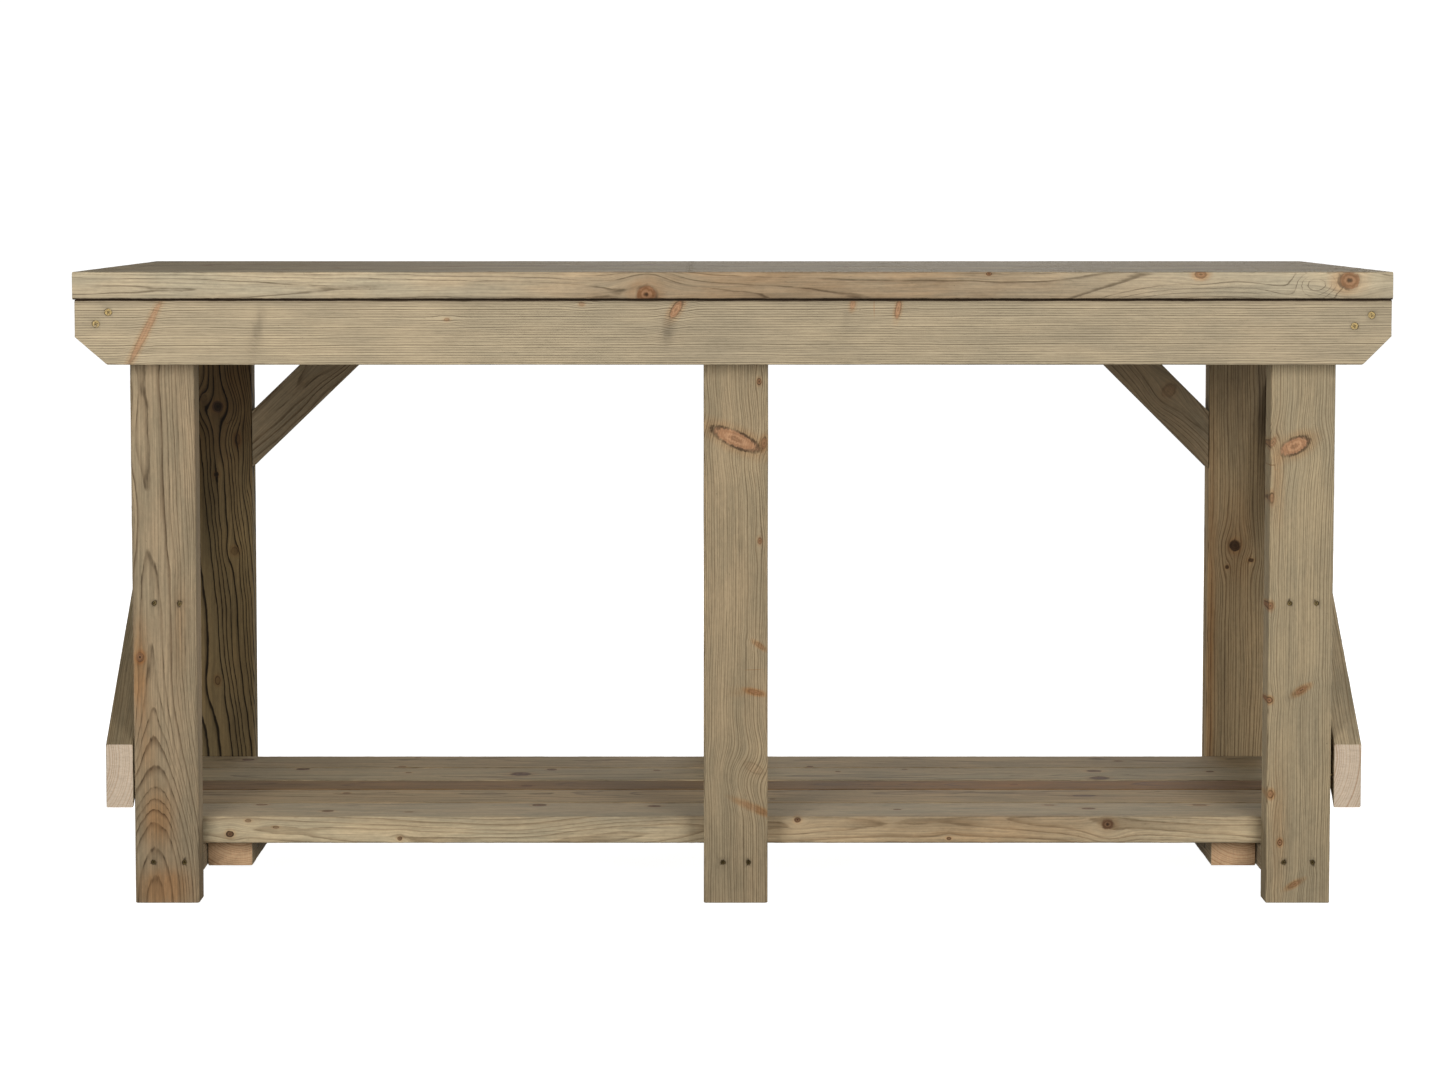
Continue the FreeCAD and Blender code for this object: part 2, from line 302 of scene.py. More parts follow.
    # caps
    first = [idx(0, j) for j in range(NP)]
    last = [idx(NS - 1, j) for j in range(NP)]
    cuts = P.get("cap_cut")
    if cuts is None:
        faces.append(tuple(reversed(first))); cap.append(1.0)
        faces.append(tuple(last)); cap.append(1.0)
    else:      # clipped corner: the plumb part and the sloped part are separate flats
        for ids, wc, rev in ((first, cuts[0], True), (last, cuts[1], False)):
            on = [k for k in range(NP) if abs(sec[k, 0] - wc) < 1e-6]
            a, b_ = sorted(on)[0], sorted(on)[-1]
            one = ids[a:b_ + 1]
            two = ids[b_:] + ids[:a + 1]
            for poly in (one, two):
                faces.append(tuple(reversed(poly)) if rev else tuple(poly)); cap.append(1.0)
    V = np.array(verts)
    G = np.array(gpos)
    world = (c[None, :] + V[:, :1] * eL + V[:, 1:2] * eW + V[:, 2:3] * eT) * MM
    me = bpy.data.meshes.new(name + "_wood")
    me.from_pydata([tuple(p) for p in world], [], faces)
    me.update()
    # ---------------- grain coordinates
    g = G.copy()
    m1, m2 = P.get("meander", (2.2, 1.2))
    wl = P.get("meander_len", 620)
    g[:, 1] += m1 * wob(G[:, 0], seed * 3 + 1, wl) + 0.5 * wob2(G[:, 0], G[:, 1], seed * 3 + 7, 150, 60)
    g[:, 2] += m2 * wob(G[:, 0], seed * 3 + 2, wl * 0.8) + 0.3 * wob2(G[:, 0], G[:, 2], seed * 3 + 8, 170, 60)
    layers = [[], [], []]
    for kn in P.get("knots", []):
        for lay in layers:
            if all(abs(kn["l"] - o["l"]) > 30 + kn["ra"] + o["ra"] or kn["face"] != o["face"] and False for o in lay):
                lay.append(kn); break
        else:
            print("knot has no layer", name, kn)
    for lay in layers:
        for kn in lay:
            a = 1 if kn["face"][0] == "T" else 2
            dl, dv = G[:, 0] - kn["l"], G[:, a] - kn["q"]
            ca, sa = math.cos(kn["ang"]), math.sin(kn["ang"])
            du_, dv_ = dl * ca + dv * sa, -dl * sa + dv * ca
            other = 3 - a
            half = (t if a == 1 else w) / 2
            sgn = 1 if kn["face"][1] == "+" else -1
            depth = np.clip(half - sgn * G[:, other], 0, None)
            reach = kn.get("reach", 60.0 if a == 1 else 34.0)
            fade = np.clip(1 - depth / reach, 0, 1) ** 0.7
            sw, sl = kn["rb"] * kn.get("flow", 2.2) + 1.5, kn["ra"] * 2.6 + 9.0
            e = kn.get("bend", 0.82) * np.exp(-(dv_ / sw) ** 2 - (du_ / sl) ** 2) * fade
            g[:, a] -= dv_ * e * ca
            g[:, 0] -= 0
    me.attributes.new("gp", "FLOAT_VECTOR", "POINT").data.foreach_set("vector", g.astype(np.float32).ravel())
    # growth rings: distance from a wandering pith line, in ring widths
    wp, tp = curve(G[:, 0], P["pith_w"]), curve(G[:, 0], P["pith_t"])
    rad = np.sqrt((g[:, 1] - wp) ** 2 + (g[:, 2] - tp) ** 2)
    wv = P.get("wave", 1.0)
    rad = rad + wv * (1.5 * wob2(G[:, 0], G[:, 1] + G[:, 2], seed * 3 + 11, 260, 70) + 0.5 * wob2(G[:, 0], G[:, 1] - G[:, 2], seed * 3 + 12, 75, 26, 12))
    for sw in P.get("swirl", []):      # a bump in the ring surface: closed loops and hooks on the face
        a = 1 if sw["face"][0] == "T" else 2
        dl, dv = G[:, 0] - sw["l"], G[:, a] - sw["q"]
        rad = rad + sw["amt"] * np.exp(-(dl / sw["ra"]) ** 2 - (dv / sw["rb"]) ** 2)
    phase = (rad / P.get("spacing", 3.6)) ** P.get("grow", 1.0)
    if "line" in P:        # extra drawn-out growth rings that rise across a narrow edge
        phase = phase + P["line"](G)
    me.attributes.new("ph", "FLOAT", "POINT").data.foreach_set("value", phase.astype(np.float32))
    for li, lay in enumerate(layers[:3]):
        kv = np.full((len(G), 3), 0.0); kv[:, 2] = 30.0
        kp = np.zeros((len(G), 3))
        best = np.full(len(G), 1e9)
        for kn in lay:
            a = 1 if kn["face"][0] == "T" else 2
            other = 3 - a
            half = (t if a == 1 else w) / 2
            sgn = 1 if kn["face"][1] == "+" else -1
            depth = np.clip(half - sgn * G[:, other], 0, None)
            reach = kn.get("reach", 60.0 if a == 1 else 34.0)
            dl, dv = G[:, 0] - kn["l"], G[:, a] - kn["q"]
            ca, sa = math.cos(kn["ang"]), math.sin(kn["ang"])
            du_, dv_ = dl * ca + dv * sa, -dl * sa + dv * ca
            ra = kn["ra"] * np.clip(1 - 0.5 * depth / reach, 0.4, 1)
            rb = kn["rb"] * np.clip(1 - 0.5 * depth / reach, 0.4, 1)
            d = np.sqrt(dl ** 2 + dv ** 2)
            far = np.clip(d - max(kn["ra"], kn["rb"]) * 2.2 - 8, 0, None) / 6.0 + np.clip(depth - reach * 0.75, 0, None) / 6.0
            k = d < best
            best[k] = d[k]
            kv[k, 0] = (du_ / ra)[k]; kv[k, 1] = (dv_ / rb)[k]; kv[k, 2] = far[k]
            kp[k] = (kn["dark"], kn["halo"], kn["rim"])
        if lay:
            me.attributes.new("kv%d" % li, "FLOAT_VECTOR", "POINT").data.foreach_set("vector", kv.astype(np.float32).ravel())
            me.attributes.new("kp%d" % li, "FLOAT_VECTOR", "POINT").data.foreach_set("vector", kp.astype(np.float32).ravel())
    # tints: x dark grey, y orange, z pale; on some boards they are painted light and shade as well as colour
    tn = np.zeros((len(G), 3))
    for sm in P.get("tints", []):
        a = 1 if sm["face"][0] == "T" else 2
        other = 3 - a
        half = (t if a == 1 else w) / 2
        sgn = 1 if sm["face"][1] == "+" else -1
        depth = np.clip(half - sgn * G[:, other], 0, None)
        dl, dv = G[:, 0] - sm["l"], G[:, a] - sm["q"]
        ca, sa = math.cos(sm["ang"]), math.sin(sm["ang"])
        du_, dv_ = dl * ca + dv * sa, -dl * sa + dv * ca
        e = np.exp(-(np.abs(du_) / sm["ra"]) ** 2.5 - (np.abs(dv_) / sm["rb"]) ** 2.5) * np.clip(1 - depth / 22.0, 0, 1)
        tn[:, sm["ch"]] += sm["amt"] * e
    me.attributes.new("tn", "FLOAT_VECTOR", "POINT").data.foreach_set("vector", tn.astype(np.float32).ravel())
    # first channel 1 on the eased edges (rubbing); second channel painted shade in the screw holes and a painted shadow
    # line along the worktop-apron joint
    seam = np.zeros(len(G))
    # painted shadow: a dark line along the worktop-apron joint
    for fc, q, r, amt in P.get("seam", []):
        a = 1 if fc[0] == "T" else 2
        half = (t if a == 1 else w) / 2
        depth = np.clip(half - (1 if fc[1] == "+" else -1) * G[:, 3 - a], 0, None)
        seam = np.maximum(seam, amt * np.exp(-((G[:, a] - q) / r) ** 2 - (depth / 6.0) ** 2))
    ed = np.zeros(len(G))
    ed[:len(rest)] = np.where(isc, 1.0, 0.0)
    ed[:NP] = 0.8; ed[(NS - 1) * NP: NS * NP] = 0.8
    sd = np.zeros(len(G))
    for k, v in hole_painted_shade.items():
        sd[k] = v
    sd = np.maximum(sd, seam)
    edge_wear_and_shade = np.stack([ed, sd, np.zeros(len(G))], -1)
    me.attributes.new("edge_wear_and_shade", "FLOAT_VECTOR", "POINT").data.foreach_set("vector", edge_wear_and_shade.astype(np.float32).ravel())
    me.attributes.new("cap", "FLOAT", "FACE").data.foreach_set("value", np.array(cap, np.float32))
    me.polygons.foreach_set("use_smooth", [True] * len(me.polygons))
    me.set_sharp_from_angle(angle=math.radians(38))
    me.materials.append(wood_material(name + "_wood", P, [bool(l) for l in layers]))
    ob = bpy.data.objects.new(name + "_wood", me)
    bpy.context.scene.collection.objects.link(ob)
    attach(ob, "root")
    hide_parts(name)
    return ob


# --------------------------------------------------------------- materials
class Tree:
    def __init__(self, mat):
        mat.use_nodes = True
        self.nt = mat.node_tree
        self.nt.nodes.clear()

    def node(self, kind, **props):
        n = self.nt.nodes.new(kind)
        for k, v in props.items():
            setattr(n, k, v)
        return n

    def put(self, sock, v):
        if isinstance(v, bpy.types.NodeSocket):
            self.nt.links.new(v, sock)
        elif v is not None:
            try:
                sock.default_value = v
            except (TypeError, ValueError):
                sock.default_value = (v, v, v) if not hasattr(v, "__len__") else (*v, 1.0)

    def attr(self, name, out="Vector"):
        return self.node("ShaderNodeAttribute", attribute_name=name).outputs[out]

    def m(self, op, a, b=None, c=None, clamp=False):
        n = self.node("ShaderNodeMath", operation=op, use_clamp=clamp)
        self.put(n.inputs[0], a); self.put(n.inputs[1], b)
        if c is not None:
            self.put(n.inputs[2], c)
        return n.outputs[0]

    def v(self, op, a, b=None, scale=None):
        n = self.node("ShaderNodeVectorMath", operation=op)
        self.put(n.inputs[0], a)
        if b is not None:
            self.put(n.inputs[1], b)
        if scale is not None:
            self.put(n.inputs["Scale"], scale)
        return n.outputs["Value"] if op in ("LENGTH", "DOT_PRODUCT", "DISTANCE") else n.outputs["Vector"]

    def sep(self, v):
        n = self.node("ShaderNodeSeparateXYZ")
        self.put(n.inputs[0], v)
        return n.outputs[0], n.outputs[1], n.outputs[2]

    def comb(self, x=0.0, y=0.0, z=0.0):
        n = self.node("ShaderNodeCombineXYZ")
        self.put(n.inputs[0], x); self.put(n.inputs[1], y); self.put(n.inputs[2], z)
        return n.outputs[0]

    def noise(self, vec, scale=1.0, detail=2.0, rough=0.5, dist=0.0):
        n = self.node("ShaderNodeTexNoise")
        self.put(n.inputs["Vector"], vec)
        n.inputs["Scale"].default_value = scale
        n.inputs["Detail"].default_value = detail
        n.inputs["Roughness"].default_value = rough
        n.inputs["Distortion"].default_value = dist
        return n.outputs[0]

    def white(self, v):
        n = self.node("ShaderNodeTexWhiteNoise", noise_dimensions="1D")
        self.put(n.inputs["W"], v)
        return n.outputs["Value"]

    def mr(self, x, a, b, c=0.0, d=1.0, smooth=True):
        n = self.node("ShaderNodeMapRange", interpolation_type="SMOOTHSTEP" if smooth else "LINEAR", clamp=True)
        self.put(n.inputs[0], x)
        for i, q in enumerate((a, b, c, d)):
            self.put(n.inputs[i + 1], q)
        return n.outputs[0]

    def mix(self, f, a, b, blend="MIX"):
        n = self.node("ShaderNodeMix", data_type="RGBA", blend_type=blend, clamp_factor=True)
        self.put(n.inputs[0], f)
        for s, q in ((n.inputs[6], a), (n.inputs[7], b)):
            if isinstance(q, bpy.types.NodeSocket):
                self.nt.links.new(q, s)
            else:
                s.default_value = (*q[:3], 1.0)
        return n.outputs[2]


def wood_material(name, P, layers):
    mat = bpy.data.materials.new(name)
    T = Tree(mat)
    seed = P["seed"]
    base, warm, late = P["base"], P["warm"], P["late"]
    gp = T.attr("gp")
    L, W, H = T.sep(gp)
    off = (seed * 17.3) % 97
    cap = T.attr("cap", "Fac")
    mid = T.noise(T.v("MULTIPLY", T.v("ADD", gp, (off * 11, off, off)), (1 / 38, 1 / 6, 1 / 6)), 1.0, 3.0, 0.6)
    Wr = T.m("SUBTRACT", W, P["cap_pith"][0])
    Hr = T.m("SUBTRACT", H, P["cap_pith"][1])
    r = T.m("DIVIDE", T.m("SQRT", T.m("ADD", T.m("MULTIPLY", Wr, Wr), T.m("MULTIPLY", Hr, Hr))), min(4.6, P.get("spacing", 3.6)))
    face_ph = T.attr("ph", "Fac")
    ph = T.m("ADD", T.m("MULTIPLY", r, cap), T.m("MULTIPLY", face_ph, T.m("SUBTRACT", 1.0, cap)))
    ph = T.m("ADD", ph, T.m("MULTIPLY", T.m("SUBTRACT", mid, 0.5), P.get("ripple", 0.42)))
    # uneven ring widths
    ph = T.m("ADD", ph, T.m("MULTIPLY", T.m("SINE", T.m("MULTIPLY", ph, 1.37)), 0.30))
    ring = T.m("FLOOR", ph)
    f = T.m("FRACT", ph)
    vary = T.mr(T.white(T.m("ADD", ring, float(seed))), 0.0, 1.0, 0.30, 1.0, False)
    rise = T.mr(f, P.get("lw", 0.45), 0.88)
    fall = T.mr(f, 0.92, 1.0, 1.0, 0.0)
    lm = T.m("MULTIPLY", T.m("MULTIPLY", T.m("POWER", rise, 1.6), fall), vary)
    # a thin dark line at the end of each ring, broken up along the grain
    brk = T.noise(T.v("MULTIPLY", T.v("ADD", gp, (off * 3, off, off * 2)), (1 / 55, 1 / 9, 1 / 9)), 1.0, 2.0, 0.6)
    h0 = P.get("line_from", 0.78)
    hair = T.m("MULTIPLY", T.m("MULTIPLY", T.mr(f, h0, h0 + 0.12), fall), T.mr(brk, P.get("break_at", 0.38), P.get("break_at", 0.38) + 0.28))
    # fibres and streaks
    st1 = T.noise(T.v("MULTIPLY", T.v("ADD", gp, (off, off * 3, 7.0)), (1 / 150, 1 / 2.1, 1 / 2.1)), 1.0, 3.0, 0.6)
    st2 = T.noise(T.v("MULTIPLY", gp, (1 / 30, 1 / 0.55, 1 / 0.55)), 1.0, 3.0, 0.62)
    blot = T.noise(T.v("MULTIPLY", T.v("ADD", gp, (off * 7, 0.0, off)), (1 / 130, 1 / 34, 1 / 34)), 1.0, 3.0, 0.55)
    blot2 = T.noise(T.v("MULTIPLY", T.v("ADD", gp, (-off * 5, 40.0, off)), (1 / 60, 1 / 16, 1 / 16)), 1.0, 3.0, 0.6)
    mott = T.noise(T.v("MULTIPLY", T.v("ADD", gp, (off * 2, 90.0, 0.0)), (1 / 9, 1 / 4, 1 / 4)), 1.0, 4.0, 0.65)
    col = T.mix(T.mr(blot, 0.32, 0.68), base, warm)
    dark = tuple(q * 0.62 for q in base)
    col = T.mix(T.m("MULTIPLY", T.mr(blot2, 0.56, 0.80), P.get("grey", 0.35)), col, P.get("greycol", dark))
    col = T.mix(T.m("MULTIPLY", lm, P.get("contrast", 0.75)), col, late)
    col = T.mix(T.m("MULTIPLY", hair, P.get("hair", 0.5)), col, tuple(q * 0.42 for q in late))
    k = T.m("MULTIPLY_ADD", T.m("SUBTRACT", st1, 0.5), P.get("streak", 1.15), 1.0)
    k = T.m("MULTIPLY", k, T.m("MULTIPLY_ADD", T.m("SUBTRACT", st2, 0.5), 0.60, 1.0))
    k = T.m("MULTIPLY", k, T.m("MULTIPLY_ADD", T.m("SUBTRACT", mott, 0.5), P.get("mottle", 0.42), 1.0))
    k = T.m("MULTIPLY", k, T.m("MULTIPLY_ADD", T.m("SUBTRACT", blot, 0.5), P.get("patch", 0.45), 1.0))
    # resin dashes
    dash = T.noise(T.v("MULTIPLY", T.v("ADD", gp, (0.0, off, 3.0)), (1 / 11, 1 / 0.8, 1 / 0.8)), 1.0, 1.0, 0.5)
    dashm = T.mr(dash, 0.70, 0.80)
    k = T.m("MULTIPLY", k, T.m("MULTIPLY_ADD", dashm, -0.28, 1.0))
    kv = T.comb(k, k, k)
    col = T.mix(1.0, col, kv, "MULTIPLY")
    # tints: colour patches, and on some boards painted light and shade
    tx, ty, tz = T.sep(T.attr("tn"))
    tnz = T.mr(T.m("ADD", blot2, T.m("MULTIPLY", st1, 0.6)), 0.5, 1.1, 0.55, 1.25, False)
    col = T.mix(T.m("MULTIPLY", T.m("MULTIPLY", tx, tnz), 1.0, clamp=True), col, T.mix(1.0, col, (0.42, 0.42, 0.44), "MULTIPLY"))
    col = T.mix(T.m("MULTIPLY", T.m("MULTIPLY", ty, tnz), 1.0, clamp=True), col, T.mix(1.0, col, (1.04, 0.80, 0.62), "MULTIPLY"))
    col = T.mix(T.m("MULTIPLY", tz, 1.0, clamp=True), col, T.mix(1.0, col, (1.35, 1.33, 1.28), "MULTIPLY"))
    knot_any = None
    kf = min(1.0, base[0] / 0.28) ** 1.4
    knot_a = P.get("knot_a") or tuple(q * kf for q in (0.170, 0.082, 0.037))
    knot_b = P.get("knot_b") or tuple(q * kf for q in (0.250, 0.132, 0.067))
    jit = T.noise(T.v("MULTIPLY", gp, (1 / 5.5, 1 / 3.2, 1 / 3.2)), 1.0, 3.0, 0.6)
    for li, on in enumerate(layers):
        if not on:
            continue
        kvv = T.attr("kv%d" % li)
        kd, ko, kr = T.sep(T.attr("kp%d" % li))
        flat = T.m("GREATER_THAN", kd, 1.5)      # sound pale knot without a dark heart
        kd = T.m("SUBTRACT", kd, T.m("MULTIPLY", flat, 2.0), clamp=True)
        d = T.m("ADD", T.v("LENGTH", kvv), T.m("MULTIPLY", T.m("SUBTRACT", jit, 0.5), 0.55))
        inside = T.mr(d, 0.88, 1.06, 1.0, 0.0)
        halo = T.m("MULTIPLY", T.m("MULTIPLY", T.mr(d, 0.9, 2.4, 1.0, 0.0), ko), T.mr(blot2, 0.3, 0.6, 0.45, 1.0))
        rimm = T.m("MULTIPLY", T.m("MULTIPLY", T.mr(d, 0.74, 0.94), T.mr(d, 1.04, 1.28, 1.0, 0.0)), T.m("MULTIPLY", kr, T.mr(blot2, 0.34, 0.60, 0.22, 0.95)))
        rr = T.m("SINE", T.m("MULTIPLY", T.m("ADD", d, T.m("MULTIPLY", mott, 0.35)), 13.0))
        kcol = T.mix(T.mr(rr, -1.0, 1.0), knot_a, knot_b)
        kcol = T.mix(flat, kcol, T.mix(T.mr(rr, -1.0, 1.0), P.get("knot_c", (0.285, 0.148, 0.076)), P.get("knot_d", (0.375, 0.208, 0.112))))
        core = T.m("MULTIPLY", T.m("MULTIPLY", T.mr(d, 0.10, P.get("heart", 0.40), 1.0, 0.0), T.mr(kd, 0.25, 0.9)), T.m("MULTIPLY_ADD", flat, -0.8, 1.0))
        kcol = T.mix(core, kcol, P.get("corecol", (0.045, 0.024, 0.012)))
        kcol = T.mix(1.0, kcol, T.comb(k, k, k), "MULTIPLY")
        col = T.mix(halo, col, T.mix(1.0, col, P.get("halocol", (1.0, 0.70, 0.48)), "MULTIPLY"))
        col = T.mix(T.m("MULTIPLY", inside, kd), col, kcol)
        col = T.mix(rimm, col, (0.030, 0.017, 0.010))
        ia = T.m("MULTIPLY", inside, kd)
        knot_any = ia if knot_any is None else T.m("MAXIMUM", knot_any, ia)
    # dirt: specks and handling marks
    speck = T.noise(T.v("MULTIPLY", T.v("ADD", gp, (off, 0.0, off * 5)), (1 / 6.5, 1 / 4.0, 1 / 4.0)), 1.0, 2.0, 0.5)
    sp = T.mr(speck, 0.735, 0.80)
    col = T.mix(T.m("MULTIPLY", sp, P.get("specks", 0.35)), col, (0.05, 0.035, 0.022))
    # ends
    ec = P.get("endcol", tuple(min(1.0, q * 1.05) for q in warm))
    saw = T.noise(T.v("MULTIPLY", gp, (1 / 2.0, 1 / 2.6, 1 / 9.0)), 1.0, 4.0, 0.7)
    pore = T.noise(T.v("MULTIPLY", gp, (1 / 1.0, 1 / 0.9, 1 / 0.9)), 1.0, 3.0, 0.7)
    ek = T.m("ADD", T.m("MULTIPLY", saw, 0.55), T.m("MULTIPLY", pore, 0.5))
    ek = T.mr(ek, 0.2, 0.85, 0.62, 1.28, False)
    ecol = T.mix(1.0, T.mix(T.m("MULTIPLY", lm, P.get("endcontrast", 0.85)), ec, tuple(a * b for a, b in zip(ec, (0.62, 0.45, 0.33)))), T.comb(ek, ek, ek), "MULTIPLY")
    col = T.mix(cap, col, ecol)
    # edges are rubbed pale in places and grimy in others; screw holes carry painted shade and the worktop-apron joint a
    # painted shadow line
    we, hole_and_gap_shade, _ = T.sep(T.attr("edge_wear_and_shade"))
    we = T.m("MULTIPLY", we, T.m("MULTIPLY_ADD", cap, -0.88, 1.0))
    hole_and_gap_shade = T.m("MULTIPLY", hole_and_gap_shade, T.m("MULTIPLY_ADD", cap, -0.9, 1.0))
    wn = T.noise(T.v("MULTIPLY", gp, (1 / 24, 1 / 9, 1 / 9)), 1.0, 3.0, 0.6)
    rub = T.m("MULTIPLY", we, T.mr(wn, 0.44, 0.62))
    gri = T.m("MULTIPLY", we, T.mr(wn, 0.44, 0.30))
    col = T.mix(T.m("MULTIPLY", rub, P.get("rub", 0.40)), col, T.mix(1.0, col, (1.30, 1.27, 1.22), "MULTIPLY"))
    col = T.mix(T.m("MULTIPLY", gri, 0.45), col, T.mix(1.0, col, (0.66, 0.62, 0.58), "MULTIPLY"))
    # painted shade in the screw holes and painted shadow along the joint, near-black brown
    col = T.mix(T.m("MULTIPLY", hole_and_gap_shade, 0.88), col, (0.035, 0.022, 0.012))
    bsdf = T.node("ShaderNodeBsdfPrincipled")
    bsdf.inputs["Specular IOR Level"].default_value = 0.14
    bsdf.inputs["IOR"].default_value = 1.45
    T.put(bsdf.inputs["Base Color"], col)
    ro = T.m("MULTIPLY_ADD", lm, -0.10, 0.82)
    ro = T.m("ADD", ro, T.m("MULTIPLY", T.m("SUBTRACT", mott, 0.5), 0.20))
    ro = T.m("SUBTRACT", ro, T.m("MULTIPLY", we, 0.06))
    if knot_any is not None:
        ro = T.m("SUBTRACT", ro, T.m("MULTIPLY", knot_any, 0.06))
    T.put(bsdf.inputs["Roughness"], T.m("ADD", ro, 0.0, clamp=True))
    h = T.m("SUBTRACT", T.m("MULTIPLY", lm, 0.55), T.m("MULTIPLY", hair, 0.5))
    h = T.m("ADD", h, T.m("MULTIPLY", st2, 0.55))
    h = T.m("ADD", h, T.m("MULTIPLY", st1, 0.35))
    h = T.m("SUBTRACT", h, T.m("MULTIPLY", dashm, 0.4))
    h = T.m("ADD", h, T.m("MULTIPLY", T.m("MULTIPLY", ek, cap), 1.2))
    if knot_any is not None:
        h = T.m("ADD", h, T.m("MULTIPLY", knot_any, -0.35))
    bump = T.node("ShaderNodeBump")
    bump.inputs["Strength"].default_value = 0.55
    bump.inputs["Distance"].default_value = 0.0006
    T.put(bump.inputs["Height"], h)
    T.put(bsdf.inputs["Normal"], bump.outputs[0])
    out = T.node("ShaderNodeOutputMaterial")
    T.nt.links.new(bsdf.outputs[0], out.inputs[0])
    return mat


def screw_material():
    mat = bpy.data.materials.new("yellow_zinc")
    T = Tree(mat)
    co = T.node("ShaderNodeTexCoord").outputs["Object"]
    n1 = T.noise(co, 420.0, 3.0, 0.6)
    n2 = T.noise(co, 1500.0, 3.0, 0.65)
    n3 = T.noise(co, 90.0, 2.0, 0.5)
    col = T.mix(T.mr(n1, 0.35, 0.7), (0.160, 0.110, 0.034), (0.085, 0.060, 0.024))
    col = T.mix(T.m("MULTIPLY", T.mr(n3, 0.5, 0.75), 0.55), col, (0.085, 0.080, 0.072))
    rust = T.mr(T.m("ADD", n2, T.m("MULTIPLY", n1, 0.5)), 0.86, 1.0)
    col = T.mix(T.m("MULTIPLY", rust, 0.75), col, (0.12, 0.05, 0.022))
    bsdf = T.node("ShaderNodeBsdfPrincipled")
    T.put(bsdf.inputs["Base Color"], col)
    T.put(bsdf.inputs["Metallic"], T.m("MULTIPLY_ADD", rust, -0.6, 0.65))
    T.put(bsdf.inputs["Roughness"], T.m("ADD", T.mr(n2, 0.3, 0.7, 0.30, 0.52, False), T.m("MULTIPLY", rust, 0.3)))
    bump = T.node("ShaderNodeBump")
    bump.inputs["Strength"].default_value = 0.35
    bump.inputs["Distance"].default_value = 0.0002
    T.put(bump.inputs["Height"], n2)
    T.put(bsdf.inputs["Normal"], bump.outputs[0])
    out = T.node("ShaderNodeOutputMaterial")
    T.nt.links.new(bsdf.outputs[0], out.inputs[0])
    return mat


# ------------------------------------------------------------ board data
def K(face, l, q, ra, rb=None, ang=0.0, dark=0.9, halo=0.5, rim=0.8, **kw):
    return dict(face=face, l=l, q=q, ra=ra, rb=rb or ra, ang=math.radians(ang), dark=dark + (2.0 if kw.get("flat") else 0.0), halo=halo, rim=rim, **kw)


def S(face, l, q, ra, rb, ch, amt, ang=0.0):
    return dict(face=face, l=l, q=q, ra=ra, rb=rb, ch=ch, amt=amt, ang=math.radians(ang))


def H(face, l, q, **kw):
    return dict(face=face, l=l, q=q, **kw)


OLIVE = dict(base=(0.285, 0.228, 0.148), warm=(0.315, 0.242, 0.150), late=(0.150, 0.100, 0.054))


def tone(base, warm=None, late=None):
    warm = warm or tuple(q * k for q, k in zip(base, (1.09, 1.03, 0.98)))
    late = late or tuple(q * k for q, k in zip(base, (0.52, 0.43, 0.35)))
    return dict(base=base, warm=warm, late=late)


BOARDS = {}


def board(name, L, W, seed, **kw):
    d = dict(L=L, W=W, seed=seed, pith=(10.0, -70.0))
    d.update(OLIVE)
    d.update(kw)
    (pw, pt), (aw, at_) = d["pith"], d.get("tilt", (0.0, 0.012))
    d.setdefault("pith_w", [(-1000, pw - 1000 * aw), (1000, pw + 1000 * aw)])
    d.setdefault("pith_t", [(-1000, pt - 1000 * at_), (1000, pt + 1000 * at_)])
    d.setdefault("cap_pith", (pw, pt))
    BOARDS[name] = d
    return d


